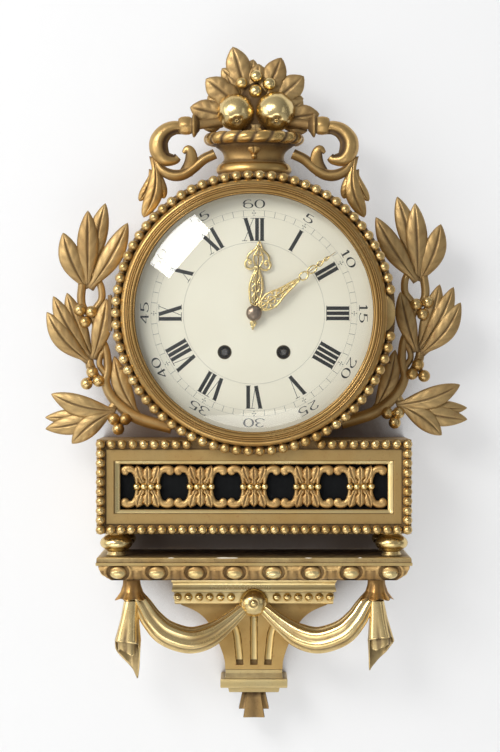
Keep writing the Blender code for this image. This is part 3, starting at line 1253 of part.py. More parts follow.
minute_edge = [*BOSS_EDGE, (7.0, 1.6),
               (0.32 * MINUTE_HAND_L, 1.6), (0.41 * MINUTE_HAND_L, 4.6), (0.52 * MINUTE_HAND_L, 1.5),
               (0.76 * MINUTE_HAND_L, 1.4), (0.83 * MINUTE_HAND_L, 3.2), (0.91 * MINUTE_HAND_L, 1.1),
               (MINUTE_HAND_L, 0.0)]
minute_piercings = [(0.35 * MINUTE_HAND_L, 0.48 * MINUTE_HAND_L, 2.0)]
arbor_hole = CENTRE_ARBOR_R + GAP
blade = hand("blade", MINUTE_HAND_DEG, minute_edge, minute_piercings, arbor_hole, MINUTE_HAND_BACK)
collet_back = MINUTE_HAND_BACK + HAND_T - 0.4
collet = turned("collet", [(0, collet_back + 5.4), (0.5 * COLLET_R, collet_back + 4.6),
                           (0.85 * COLLET_R, collet_back + 2.6), (COLLET_R, collet_back),
                           (arbor_hole, collet_back),
                           (arbor_hole, MINUTE_HAND_BACK + 3.0 + GAP),
                           (0, MINUTE_HAND_BACK + 3.0 + GAP)], 12, BRASS)
fused("minute_hand", [blade, collet])

# Pendulum

ROD_T = 2.0
bob_z = -DRUM_R - BOB_DROP
rod_low = bob_z - 4.0
cock_low = ANCHOR_Z + ARBOR_R + 2 * GAP
rod_top = cock_low - 2 * GAP
fused("pendulum_rod", [
    block("rod", -ROD_HALF_W, ROD_HALF_W, PENDULUM_FORWARD - ROD_T / 2, PENDULUM_FORWARD + ROD_T / 2, rod_low,
          ANCHOR_Z - 1, STEEL),
    block("top", -3.0, 3.0, PENDULUM_FORWARD - ROD_T, PENDULUM_FORWARD + ROD_T, rod_top - 5, rod_top, BRASS),
])
half_bob = BOB_T / 2
bob = turned("pendulum_bob", [(0, PENDULUM_FORWARD + half_bob),
                              (0.6 * BOB_R, PENDULUM_FORWARD + 0.75 * half_bob),
                              (BOB_R, PENDULUM_FORWARD), (0.6 * BOB_R, PENDULUM_FORWARD - 0.75 * half_bob),
                              (0, PENDULUM_FORWARD - half_bob)], 16, BRASS, 0.0, bob_z)
cut(bob, block("rod_slot", -ROD_HALF_W - GAP, ROD_HALF_W + GAP, PENDULUM_FORWARD - ROD_T / 2 - GAP,
               PENDULUM_FORWARD + ROD_T / 2 + GAP, rod_low - GAP, bob_z + BOB_R + 5, BRASS))
COCK_HALF_W = 6.0
COCK_H = 8.5
block("suspension_cock", -COCK_HALF_W, COCK_HALF_W, PENDULUM_FORWARD - 5.0, BACK_PLATE - PLATE_T - GAP,
      cock_low,
      cock_low + COCK_H, BRASS)

# Pivots: each moving group hangs on an empty that stands on its axis

def pivot(name, x, forward, z, pieces):
    """An empty on an axis, with the pieces that turn about it as its children."""
    at = Vector((x, -forward, z)) * MM
    empty = bpy.data.objects.new(name, None)
    empty.location = at
    PARTS.objects.link(empty)
    for piece in pieces:
        child = bpy.data.objects[piece]
        child.parent = empty
        child.matrix_parent_inverse = Matrix.Translation(-at)


pivot("door_axis", HINGE_X, HINGE_FORWARD, 0.0,
      ["bezel", "door_glass", "bead_ring", "finger_pull", "hinge_door_leaf"])
pivot("minute_axis", 0.0, MINUTE_HAND_BACK, 0.0, ["centre_arbor", "minute_hand"])
pivot("hour_axis", 0.0, HOUR_HAND_BACK, 0.0, ["hour_wheel", "hour_hand"])
pivot("motion_axis", MINUTE_WHEEL_AT[0], FRONT_PLATE, MINUTE_WHEEL_AT[1], ["minute_wheel"])
pivot("pendulum_axis", 0.0, PENDULUM_FORWARD, ANCHOR_Z, ["anchor", "pendulum_rod", "pendulum_bob"])
pivot("escape_axis", ESCAPE[0], ESCAPE_BACK, ESCAPE[1], ["escape_wheel"])
pivot("hammer_axis", HAMMER_AT[0], HAMMER_BACK, HAMMER_AT[1], ["hammer"])
for train, at in (("going", GOING), ("strike", STRIKE)):
    pivot(f"{train}_barrel_axis", at[0], GREAT_BACK, at[1], [f"{train}_barrel"])
    pivot(f"{train}_winding_axis", at[0], FRONT_PLATE, at[1], [f"{train}_winding_arbor"])

SMOOTH_BELOW = math.radians(35)
for piece in PARTS.objects:
    if piece.type == "MESH":
        piece.data.shade_smooth()
        piece.data.set_sharp_from_angle(angle=SMOOTH_BELOW)
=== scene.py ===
"""A carved and gilded wall clock on a bracket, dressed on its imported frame.

Shapes are worked out in millimetres as (x, forward, z): x to the right, z up, and forward from the wall towards
the room, so forward is minus Y. They turn into metres where a mesh is made.
"""

import bpy
import numpy as np
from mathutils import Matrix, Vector


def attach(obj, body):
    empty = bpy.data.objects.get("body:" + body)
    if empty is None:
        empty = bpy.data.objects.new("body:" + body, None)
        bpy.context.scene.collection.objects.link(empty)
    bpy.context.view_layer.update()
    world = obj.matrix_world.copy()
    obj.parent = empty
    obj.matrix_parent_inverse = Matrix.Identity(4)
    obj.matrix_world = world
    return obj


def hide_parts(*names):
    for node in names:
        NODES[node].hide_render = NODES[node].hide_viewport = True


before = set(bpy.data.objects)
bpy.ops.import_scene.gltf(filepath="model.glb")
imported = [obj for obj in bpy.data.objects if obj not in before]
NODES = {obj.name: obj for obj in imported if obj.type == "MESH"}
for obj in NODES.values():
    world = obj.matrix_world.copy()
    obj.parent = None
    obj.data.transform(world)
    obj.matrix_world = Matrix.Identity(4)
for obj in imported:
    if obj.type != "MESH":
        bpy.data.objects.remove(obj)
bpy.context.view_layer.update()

# The room: a white wall that the clock hangs on, a pale floor well below, daylight from the upper left through a
# soft oblong window, a wide soft light from the left and light thrown back by the floor. The wall and the floor let
# the view through from behind.

bpy.context.scene.view_settings.view_transform = "Standard"

sky = bpy.data.worlds.new("room_light")
sky.use_nodes = True
air = sky.node_tree.nodes["Background"]
air.inputs["Color"].default_value = (0.95, 0.97, 1.0, 1.0)
toward = sky.node_tree.nodes.new("ShaderNodeTexCoord")
parts = sky.node_tree.nodes.new("ShaderNodeSeparateXYZ")
fade = sky.node_tree.nodes.new("ShaderNodeMapRange")
fade.inputs["From Min"].default_value = -1.0
fade.inputs["To Min"].default_value = 0.72
fade.inputs["To Max"].default_value = 0.18
sky.node_tree.links.new(toward.outputs["Generated"], parts.inputs["Vector"])
sky.node_tree.links.new(parts.outputs["X"], fade.inputs["Value"])
sky.node_tree.links.new(fade.outputs["Result"], air.inputs["Strength"])
bpy.context.scene.world = sky


def plain_plane(name, corners, colour, upright):
    """A flat rectangle from its four corners in metres, white-washed with a faint mottle and clear when it is seen
    from its back. An upright one is clear from just in front of it too; on it an emission faded out by ambient
    occlusion paints a glow over its open parts, and a dark brown blended in by the same occlusion paints shade into
    sheltered places."""
    mesh = bpy.data.meshes.new(name)
    mesh.from_pydata(corners, [], [(0, 1, 2, 3)])
    plane = bpy.data.objects.new(name, mesh)
    bpy.context.scene.collection.objects.link(plane)
    paint = bpy.data.materials.new(name)
    paint.use_nodes = True
    nodes, links = paint.node_tree.nodes, paint.node_tree.links
    coat = nodes["Principled BSDF"]
    coat.inputs["Roughness"].default_value = 0.9
    coat.inputs["Specular IOR Level"].default_value = 0.1
    where = nodes.new("ShaderNodeTexCoord")
    mottle = nodes.new("ShaderNodeTexNoise")
    mottle.inputs["Scale"].default_value = 1.3
    tint = nodes.new("ShaderNodeMix")
    tint.data_type = "RGBA"
    tint.inputs["A"].default_value = (*colour, 1.0)
    tint.inputs["B"].default_value = (*(0.97 * c for c in colour), 1.0)
    links.new(where.outputs["Object"], mottle.inputs["Vector"])
    links.new(mottle.outputs["Fac"], tint.inputs["Factor"])
    links.new(tint.outputs["Result"], coat.inputs["Base Color"])
    side = nodes.new("ShaderNodeNewGeometry")
    clear = nodes.new("ShaderNodeBsdfTransparent")
    choose = nodes.new("ShaderNodeMixShader")
    links.new(side.outputs["Backfacing"], choose.inputs["Fac"])
    links.new(coat.outputs["BSDF"], choose.inputs[1])
    links.new(clear.outputs["BSDF"], choose.inputs[2])
    links.new(choose.outputs["Shader"], nodes["Material Output"].inputs["Surface"])
    if upright:
        # Painted shade: a dark brown that takes over the wall's colour where ambient occlusion finds it sheltered.
        deep = nodes.new("ShaderNodeMix")
        deep.data_type = "RGBA"
        deep.inputs["A"].default_value = (0.33, 0.27, 0.235, 1.0)
        ray = nodes.new("ShaderNodeLightPath")
        close = nodes.new("ShaderNodeMath")
        close.operation = "LESS_THAN"
        close.inputs[1].default_value = 0.004
        unseen = nodes.new("ShaderNodeMath")
        unseen.operation = "MAXIMUM"
        links.new(ray.outputs["Ray Length"], close.inputs[0])
        links.new(side.outputs["Backfacing"], unseen.inputs[0])
        links.new(close.outputs["Value"], unseen.inputs[1])
        seen = nodes.new("ShaderNodeMath")
        seen.operation = "MAXIMUM"
        links.new(ray.outputs["Is Camera Ray"], seen.inputs[0])
        links.new(ray.outputs["Is Transmission Ray"], seen.inputs[1])
        mirrored = nodes.new("ShaderNodeMath")
        mirrored.operation = "MAXIMUM"
        links.new(seen.outputs["Value"], mirrored.inputs[0])
        links.new(ray.outputs["Is Glossy Ray"], mirrored.inputs[1])
        opened = nodes.new("ShaderNodeAmbientOcclusion")
        opened.inputs["Distance"].default_value = 0.12
        clearing = nodes.new("ShaderNodeMapRange")
        clearing.inputs["From Min"].default_value = 0.22
        clearing.inputs["From Max"].default_value = 0.46
        links.new(opened.outputs["AO"], clearing.inputs["Value"])
        links.new(clearing.outputs["Result"], deep.inputs["Factor"])
        links.new(tint.outputs["Result"], deep.inputs["B"])
        links.new(deep.outputs["Result"], coat.inputs["Base Color"])
        # Painted glow: white emission for camera, glossy and transmission rays, faded out where the wall is sheltered.
        share = nodes.new("ShaderNodeMath")
        share.operation = "MULTIPLY"
        links.new(clearing.outputs["Result"], share.inputs[0])
        links.new(mirrored.outputs["Value"], share.inputs[1])
        whiter = nodes.new("ShaderNodeMath")
        whiter.operation = "MULTIPLY"
        whiter.inputs[1].default_value = 0.49
        links.new(share.outputs["Value"], whiter.inputs[0])
        white = nodes.new("ShaderNodeEmission")
        white.inputs["Color"].default_value = (0.96, 0.96, 0.96, 1.0)
        lit = nodes.new("ShaderNodeMixShader")
        links.new(whiter.outputs["Value"], lit.inputs["Fac"])
        links.new(coat.outputs["BSDF"], lit.inputs[1])
        links.new(white.outputs["Emission"], lit.inputs[2])
        links.new(unseen.outputs["Value"], choose.inputs["Fac"])
        links.new(lit.outputs["Shader"], choose.inputs[1])
    mesh.materials.append(paint)
    return plane


WALL_BACK = 0.0008
FLOOR_Z = -1.3
ROOM = 4.0
plain_plane("wall", [(-ROOM, WALL_BACK, FLOOR_Z), (ROOM, WALL_BACK, FLOOR_Z), (ROOM, WALL_BACK, ROOM),
                     (-ROOM, WALL_BACK, ROOM)], (0.86, 0.865, 0.875), True)
plain_plane("floor", [(-ROOM, WALL_BACK, FLOOR_Z), (-ROOM, -ROOM, FLOOR_Z), (ROOM, -ROOM, FLOOR_Z),
                      (ROOM, WALL_BACK, FLOOR_Z)], (0.80, 0.80, 0.79), False)


def soft_light(name, at, aim, size, power, colour, roll=0.0):
    """An oblong soft light at a place, turned to face another and rolled about its own axis."""
    lamp = bpy.data.lights.new(name, "AREA")
    lamp.shape = "RECTANGLE"
    lamp.size, lamp.size_y = size
    lamp.energy = power
    lamp.color = colour
    held = bpy.data.objects.new(name, lamp)
    held.location = at
    held.rotation_euler = (Vector(aim) - Vector(at)).to_track_quat("-Z", "Y").to_euler()
    held.rotation_euler.rotate_axis("Z", roll)
    bpy.context.scene.collection.objects.link(held)


soft_light("window", (-0.98, -1.75, 0.93), (-0.02, -0.1, -0.03), (0.98, 0.68), 24.0, (1.0, 0.985, 0.96), -0.58)
soft_light("left_wash", (-2.0, -1.35, 0.25), (0.0, 0.0, -0.1), (1.2, 1.8), 15.0, (1.0, 0.98, 0.95))
soft_light("low_bounce", (-0.3, -1.35, -1.2), (0.0, 0.0, -0.2), (1.6, 0.9), 9.0, (1.0, 0.98, 0.95))
soft_light("right_fill", (2.2, -1.6, 0.2), (0.0, 0.0, -0.1), (0.8, 1.4), 2.2, (0.95, 0.97, 1.0))

view = bpy.data.cameras.new("photograph_view")
view.lens = 107.7
view.sensor_width = 36.0
photographer = bpy.data.objects.new("photograph_view", view)
photographer.location = (-0.004, -2.360, -0.063)
photographer.rotation_euler = (np.pi / 2, 0.0, 0.0)
bpy.context.scene.collection.objects.link(photographer)
bpy.context.scene.camera = photographer

# Drum: a turned ring of wood, gilded outside, open at the back for the movement, with a slot low down for the
# pendulum. It is one ring in front of the slot and a ring with a gap behind it.

MM = 0.001


def patch(points, ring=True, loop=False, capped=True, toning_and_shade=None):
    """A grid of points as (vertices, quads, triangles, toning_and_shade). Rows run along the shape and columns across
    it.
    With ring the columns close on themselves, with loop the rows do too, and with capped the middle of the first
    and of the last row closes each end. toning_and_shade is how dark each point is painted, from 0 to 1: painted shade
    in recesses, creases, undersides and backs, together with the gilder's toning."""
    points = np.asarray(points, float)
    rows, cols = points.shape[:2]
    index = np.arange(rows * cols).reshape(rows, cols)
    right = np.roll(index, -1, 1)
    above = np.roll(index, -1, 0)
    quads = np.stack([index, right, np.roll(right, -1, 0), above], -1)
    quads = quads[: rows if loop else rows - 1, : cols if ring else cols - 1].reshape(-1, 4)
    verts = points.reshape(-1, 3)
    shade = np.zeros(rows * cols) if toning_and_shade is None else np.broadcast_to(toning_and_shade, (rows, cols)).reshape(-1)
    fans = np.zeros((0, 3), int)
    if ring and capped and not loop:
        ends = np.stack([points[0].mean(0), points[-1].mean(0)])
        first = np.stack([np.full(cols, rows * cols), right[0], index[0]], -1)
        last = np.stack([np.full(cols, rows * cols + 1), index[-1], right[-1]], -1)
        fans = np.concatenate([first, last])
        verts = np.concatenate([verts, ends])
        shade = np.concatenate([shade, [shade[0], shade[-1]]])
    return turned_out((verts, quads, fans, shade), ring)


def turned_out(shape, closed):
    """The same patch with its faces turned the right way: a closed one so that the volume under its triangles is
    positive, an open one so that its faces look into the room."""
    verts, quads, fans, shade = shape
    world = (verts - verts.mean(0)) * (1, -1, 1)
    corners = np.concatenate([quads[:, [0, 1, 2]], quads[:, [0, 2, 3]], fans])
    a, b, c = (world[corners[:, k]] for k in range(3))
    if closed:
        wrong = np.einsum("ij,ij->i", a, np.cross(b, c)).sum() < 0
    else:
        wrong = np.cross(b - a, c - a)[:, 1].sum() > 0
    return (verts, quads[:, ::-1], fans[:, ::-1], shade) if wrong else shape


def made(name, patches, material, body, replaces=(), sharp=None):
    """One object from patches: their points in metres, their faces one after another, smooth shaded, with sharp
    edges where the faces meet at more than the given angle in degrees, riding on a body."""
    offset = np.cumsum([0] + [len(p[0]) for p in patches])
    verts = np.concatenate([p[0] for p in patches]) * (MM, -MM, MM)
    quads = np.concatenate([p[1] + o for p, o in zip(patches, offset)])
    fans = np.concatenate([p[2] + o for p, o in zip(patches, offset)])
    mesh = bpy.data.meshes.new(name)
    mesh.vertices.add(len(verts))
    mesh.vertices.foreach_set("co", verts.astype(np.float32).ravel())
    mesh.loops.add(4 * len(quads) + 3 * len(fans))
    mesh.loops.foreach_set("vertex_index", np.concatenate([quads.ravel(), fans.ravel()]).astype(np.int32))
    mesh.polygons.add(len(quads) + len(fans))
    starts = np.concatenate([4 * np.arange(len(quads)), 4 * len(quads) + 3 * np.arange(len(fans))])
    mesh.polygons.foreach_set("loop_start", starts.astype(np.int32))
    mesh.update(calc_edges=True)
    mesh.validate()
    # Per-point painted shade and toning, read by the gilding.
    recess = mesh.attributes.new("toning_and_shade", "FLOAT", "POINT")
    recess.data.foreach_set("value", np.concatenate([p[3] for p in patches]).astype(np.float32))
    mesh.shade_smooth()
    if sharp:
        mesh.set_sharp_from_angle(angle=np.radians(sharp))
    mesh.materials.append(material)
    piece = bpy.data.objects.new(name, mesh)
    bpy.context.scene.collection.objects.link(piece)
    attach(piece, body)
    if replaces:
        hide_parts(*replaces)
    return piece


def revolved(profile, turns, share=1.0, centre=(0.0, 0.0), upright=None, depth=1.0):
    """Points of a turned shape: the profile (radius, distance along the axis) carried round the axis. The axis
    points at the room from (x, z), or with upright it is vertical at (x, forward) and the depth is a share of
    the width."""
    profile = np.asarray(profile, float)
    angle = np.asarray(turns, float) if np.ndim(turns) else np.arange(turns) * 2 * np.pi * share / turns
    r, along = profile[:, :1], profile[:, 1:]
    across, aside = r * np.cos(angle), r * np.sin(angle)
    level = along + 0 * across
    if upright is None:
        return np.stack([centre[0] + across, level, centre[1] + aside], -1)
    return np.stack([upright[0] + across, upright[1] - depth * aside, level], -1)


def rounded(profile, soft=0.6, steps=3):
    """A closed profile with each corner cut to a short arc (a quadratic curve between points at the given
    distance before and after the corner)."""
    corner = np.asarray(profile, float)
    before = np.roll(corner, 1, 0) - corner
    after = np.roll(corner, -1, 0) - corner
    long_in = np.linalg.norm(before, axis=1, keepdims=True)
    long_out = np.linalg.norm(after, axis=1, keepdims=True)
    start = corner + before / long_in * np.minimum(soft, 0.45 * long_in)
    end = corner + after / long_out * np.minimum(soft, 0.45 * long_out)
    t = np.linspace(0, 1, steps + 1)[None, :, None]
    arc = (1 - t) ** 2 * start[:, None] + 2 * t * (1 - t) * corner[:, None] + t ** 2 * end[:, None]
    return arc.reshape(-1, corner.shape[1])


def socket(group, name, way, kind):
    """A named input or output of a shader group."""
    return group.interface.new_socket(name=name, in_out=way, socket_type=kind)


def gilding_group():
    """Gold leaf on carved wood, as colours and values that change over the surface: broad drifts of warmer and
    paler leaf, small rubbed spots where the red bole shows, a dark brown painted into recesses, creases and undersides
    as painted shade and toning (the piece's own toning_and_shade attribute), brown as fine specks, roughness that
    follows them, and a low tooled unevenness as a height."""
    group = bpy.data.node_groups.new("gilding", "ShaderNodeTree")
    for name, kind in (("Leaf", "NodeSocketColor"), ("Shade", "NodeSocketColor"), ("Bole", "NodeSocketColor"),
                       ("ShadeAndToningColour", "NodeSocketColor"), ("Rubbed", "NodeSocketFloat"),
                       ("ShadeAndToningAmount", "NodeSocketFloat"), ("Rough", "NodeSocketFloat"), ("Metal", "NodeSocketFloat")):
        socket(group, name, "INPUT", kind)
    for name, kind in (("Colour", "NodeSocketColor"), ("Roughness", "NodeSocketFloat"),
                       ("Metallic", "NodeSocketFloat"), ("Height", "NodeSocketFloat")):
        socket(group, name, "OUTPUT", kind)
    nodes, links = group.nodes, group.links
    given = nodes.new("NodeGroupInput")
    result = nodes.new("NodeGroupOutput")
    where = nodes.new("ShaderNodeTexCoord")

    def noise(scale, detail, rough, low, high):
        """Noise over the object, stretched so that low and high become 0 and 1."""
        cloud = nodes.new("ShaderNodeTexNoise")
        cloud.inputs["Scale"].default_value = scale
        cloud.inputs["Detail"].default_value = detail
        cloud.inputs["Roughness"].default_value = rough
        links.new(where.outputs["Object"], cloud.inputs["Vector"])
        spread = nodes.new("ShaderNodeMapRange")
        spread.inputs["From Min"].default_value = low
        spread.inputs["From Max"].default_value = high
        links.new(cloud.outputs["Fac"], spread.inputs["Value"])
        return spread.outputs["Result"]

    def sum_of(kind, a, b, clamp=False):
        """A sum, product or other result of two values."""
        step = nodes.new("ShaderNodeMath")
        step.operation = kind
        step.use_clamp = clamp
        for slot, value in zip(step.inputs, (a, b)):
            if isinstance(value, (int, float)):
                slot.default_value = value
            else:
                links.new(value, slot)
        return step.outputs["Value"]

    def blend(factor, a, b):
        """One colour over another."""
        step = nodes.new("ShaderNodeMix")
        step.data_type = "RGBA"
        links.new(factor, step.inputs["Factor"])
        links.new(a, step.inputs["A"])
        links.new(b, step.inputs["B"])
        return step.outputs["Result"]

    drift = noise(26.0, 3.0, 0.5, 0.36, 0.66)
    spots = noise(210.0, 6.0, 0.62, 0.60, 0.72)
    specks = noise(620.0, 3.0, 0.6, 0.58, 0.80)
    tooling = noise(95.0, 4.0, 0.5, 0.2, 0.8)
    # Painted shade and toning: the piece's attribute darkens recesses, creases and undersides towards a dark brown,
    # broken up by the tooling noise.
    recess = nodes.new("ShaderNodeAttribute")
    recess.attribute_name = "toning_and_shade"
    rubbed = sum_of("MULTIPLY", spots, given.outputs["Rubbed"], True)
    dusty = sum_of("MULTIPLY", specks, 0.35)
    broken = sum_of("MULTIPLY", recess.outputs["Fac"], sum_of("ADD", 0.75, sum_of("MULTIPLY", tooling, 0.5)))
    shaded_and_toned = sum_of("MULTIPLY", sum_of("ADD", broken, dusty), given.outputs["ShadeAndToningAmount"], True)
    leaf = blend(drift, given.outputs["Leaf"], given.outputs["Shade"])
    leaf = blend(rubbed, leaf, given.outputs["Bole"])
    links.new(blend(shaded_and_toned, leaf, given.outputs["ShadeAndToningColour"]), result.inputs["Colour"])
    dull = sum_of("ADD", sum_of("MULTIPLY", shaded_and_toned, 0.35), sum_of("MULTIPLY", drift, 0.10))
    dull = sum_of("ADD", dull, sum_of("MULTIPLY", rubbed, 0.25))
    links.new(sum_of("ADD", dull, given.outputs["Rough"], True), result.inputs["Roughness"])
    lost = sum_of("ADD", sum_of("MULTIPLY", shaded_and_toned, 0.55), sum_of("MULTIPLY", rubbed, 0.6), True)
    links.new(sum_of("MULTIPLY", sum_of("SUBTRACT", 1.0, lost), given.outputs["Metal"]), result.inputs["Metallic"])
    links.new(sum_of("ADD", tooling, sum_of("MULTIPLY", specks, 0.3)), result.inputs["Height"])
    return group


GILDING = gilding_group()


def surfaced(name, group, values, bump, distance):
    """A Principled material fed by a shader group: its colour, roughness, metallic and height outputs go to the
    shader's own sockets where the group has them."""
    made_of = bpy.data.materials.new(name)
    made_of.use_nodes = True
    nodes, links = made_of.node_tree.nodes, made_of.node_tree.links
    shader = nodes["Principled BSDF"]
    effect = nodes.new("ShaderNodeGroup")
    effect.node_tree = group
    for key, value in values.items():
        effect.inputs[key].default_value = value
    for out, into in (("Colour", "Base Color"), ("Roughness", "Roughness"), ("Metallic", "Metallic")):
        if out in effect.outputs:
            links.new(effect.outputs[out], shader.inputs[into])
    raised = nodes.new("ShaderNodeBump")
    raised.inputs["Strength"].default_value = bump
    raised.inputs["Distance"].default_value = distance
    links.new(effect.outputs["Height"], raised.inputs["Height"])
    links.new(raised.outputs["Normal"], shader.inputs["Normal"])
    return made_of


def gilt(name, leaf, shade, rough, rubbed, shaded_and_toned, metal=0.9, bump=0.25):
    """A gilding with its own leaf colours, burnish, rubbing, and strength of painted shade and toning."""
    return surfaced(name, GILDING, {
        "Leaf": (*leaf, 1.0), "Shade": (*shade, 1.0), "Bole": (0.30, 0.085, 0.03, 1.0),
        "ShadeAndToningColour": (0.075, 0.040, 0.016, 1.0), "Rubbed": rubbed, "ShadeAndToningAmount": shaded_and_toned, "Rough": rough, "Metal": metal,
    }, bump, 0.0006)


matt_gilding = gilt("matt_gilding", (0.60, 0.41, 0.175), (0.48, 0.31, 0.12), 0.43, 0.4, 0.95, 0.85)
board_gilding = gilt("board_gilding", (0.58, 0.39, 0.15), (0.46, 0.29, 0.10), 0.40, 0.45, 0.85)

DRUM_R, BORE_R, DRUM_BACK, DRUM_FRONT = 140.0, 126.0, 10.3, 106.0
SLOT_FRONT, SLOT_HALF = 32.0, np.arcsin(26.0 / 133.0)
front_ring = rounded([(DRUM_R, DRUM_FRONT), (DRUM_R, SLOT_FRONT), (BORE_R, SLOT_FRONT), (BORE_R, DRUM_FRONT)], 0.5)
rear_ring = rounded([(DRUM_R, SLOT_FRONT), (DRUM_R, DRUM_BACK), (BORE_R, DRUM_BACK), (BORE_R, SLOT_FRONT)], 0.5)
past_slot = -np.pi / 2 + np.linspace(SLOT_HALF, 2 * np.pi - SLOT_HALF, 140)
made("drum", [patch(revolved(front_ring, 160), loop=True),
              patch(np.swapaxes(revolved(rear_ring, past_slot), 0, 1))],
     board_gilding, "case", ["drum_case"], sharp=40)

# Back board, the ring that the dial rests on and the seat board: plain unfinished pine, browned with age. The back
# board closes the drum and carries a steel hanging plate.


def grain_group():
    """Bare wood: streaks of noise drawn out along the board, darker veins in them, and fine fibres as a height."""
    group = bpy.data.node_groups.new("wood_grain", "ShaderNodeTree")
    for name in ("Early", "Late"):
        socket(group, name, "INPUT", "NodeSocketColor")
    for name, kind in (("Colour", "NodeSocketColor"), ("Roughness", "NodeSocketFloat"), ("Height", "NodeSocketFloat")):
        socket(group, name, "OUTPUT", kind)
    nodes, links = group.nodes, group.links
    given = nodes.new("NodeGroupInput")
    result = nodes.new("NodeGroupOutput")
    where = nodes.new("ShaderNodeTexCoord")
    drawn = nodes.new("ShaderNodeMapping")
    drawn.inputs["Scale"].default_value = (60.0, 60.0, 4.0)
    streaks = nodes.new("ShaderNodeTexNoise")
    streaks.inputs["Scale"].default_value = 1.0
    streaks.inputs["Detail"].default_value = 6.0
    fibres = nodes.new("ShaderNodeTexNoise")
    fibres.inputs["Scale"].default_value = 9.0
    links.new(where.outputs["Object"], drawn.inputs["Vector"])
    links.new(drawn.outputs["Vector"], streaks.inputs["Vector"])
    links.new(drawn.outputs["Vector"], fibres.inputs["Vector"])
    tint = nodes.new("ShaderNodeMix")
    tint.data_type = "RGBA"
    links.new(streaks.outputs["Fac"], tint.inputs["Factor"])
    links.new(given.outputs["Early"], tint.inputs["A"])
    links.new(given.outputs["Late"], tint.inputs["B"])
    links.new(tint.outputs["Result"], result.inputs["Colour"])
    dull = nodes.new("ShaderNodeMapRange")
    dull.inputs["To Min"].default_value = 0.65
    dull.inputs["To Max"].default_value = 0.95
    links.new(fibres.outputs["Fac"], dull.inputs["Value"])
    links.new(dull.outputs["Result"], result.inputs["Roughness"])
    links.new(fibres.outputs["Fac"], result.inputs["Height"])
    return group


def worn_metal_group():
    """Old metal: clouds of tarnish over the bright metal, fine scratches along one way, and roughness with them."""
    group = bpy.data.node_groups.new("worn_metal", "ShaderNodeTree")
    for name, kind in (("Metal", "NodeSocketColor"), ("Tarnish", "NodeSocketColor"), ("Rough", "NodeSocketFloat")):
        socket(group, name, "INPUT", kind)
    for name, kind in (("Colour", "NodeSocketColor"), ("Roughness", "NodeSocketFloat"), ("Height", "NodeSocketFloat")):
        socket(group, name, "OUTPUT", kind)
    nodes, links = group.nodes, group.links
    given = nodes.new("NodeGroupInput")
    result = nodes.new("NodeGroupOutput")
    where = nodes.new("ShaderNodeTexCoord")
    clouds = nodes.new("ShaderNodeTexNoise")
    clouds.inputs["Scale"].default_value = 90.0
    clouds.inputs["Detail"].default_value = 5.0
    spread = nodes.new("ShaderNodeMapRange")
    spread.inputs["From Min"].default_value = 0.42
    spread.inputs["From Max"].default_value = 0.75
    drawn = nodes.new("ShaderNodeMapping")
    drawn.inputs["Scale"].default_value = (300.0, 300.0, 2500.0)
    scratches = nodes.new("ShaderNodeTexNoise")
    scratches.inputs["Scale"].default_value = 1.0
    links.new(where.outputs["Object"], clouds.inputs["Vector"])
    links.new(where.outputs["Object"], drawn.inputs["Vector"])
    links.new(drawn.outputs["Vector"], scratches.inputs["Vector"])
    links.new(clouds.outputs["Fac"], spread.inputs["Value"])
    tint = nodes.new("ShaderNodeMix")
    tint.data_type = "RGBA"
    links.new(spread.outputs["Result"], tint.inputs["Factor"])
    links.new(given.outputs["Metal"], tint.inputs["A"])
    links.new(given.outputs["Tarnish"], tint.inputs["B"])
    links.new(tint.outputs["Result"], result.inputs["Colour"])
    dull = nodes.new("ShaderNodeMath")
    dull.operation = "MULTIPLY_ADD"
    dull.inputs[1].default_value = 0.22
    links.new(spread.outputs["Result"], dull.inputs[0])
    links.new(given.outputs["Rough"], dull.inputs[2])
    links.new(dull.outputs["Value"], result.inputs["Roughness"])
    links.new(scratches.outputs["Fac"], result.inputs["Height"])
    return group


GRAIN = grain_group()
WORN_METAL = worn_metal_group()


def worn_metal(name, metal, tarnish, rough):
    """A metal with its own colours and polish."""
    made_of = surfaced(name, WORN_METAL, {"Metal": (*metal, 1.0), "Tarnish": (*tarnish, 1.0), "Rough": rough},
                       0.08, 0.0002)
    made_of.node_tree.nodes["Principled BSDF"].inputs["Metallic"].default_value = 1.0
    return made_of


old_pine = surfaced("old_pine", GRAIN, {"Early": (0.30, 0.18, 0.095, 1.0), "Late": (0.13, 0.070, 0.035, 1.0)},
                    0.3, 0.0005)
movement_brass = worn_metal("movement_brass", (0.78, 0.57, 0.25), (0.42, 0.27, 0.11), 0.24)
polished_steel = worn_metal("polished_steel", (0.56, 0.56, 0.57), (0.27, 0.25, 0.23), 0.26)
bell_metal = worn_metal("bell_metal", (0.70, 0.55, 0.31), (0.38, 0.29, 0.16), 0.20)


def dress(material, *names):
    """Gives carried-over nodes of the frame their finish."""
    for name in names:
        NODES[name].material_slots[0].material = material


dress(old_pine, "back_board", "dial_ring", "seat_board")
dress(polished_steel, "hanger_plate")

# Movement: two brass plates on pillars with the spring barrels, the motion work, the escape wheel and anchor, the
# hammer and the bell between and behind them, and a short pendulum with a brass bob. Brass is lacquered and
# spotted, steel is polished, and the front plate and the winding squares are coloured very dark.

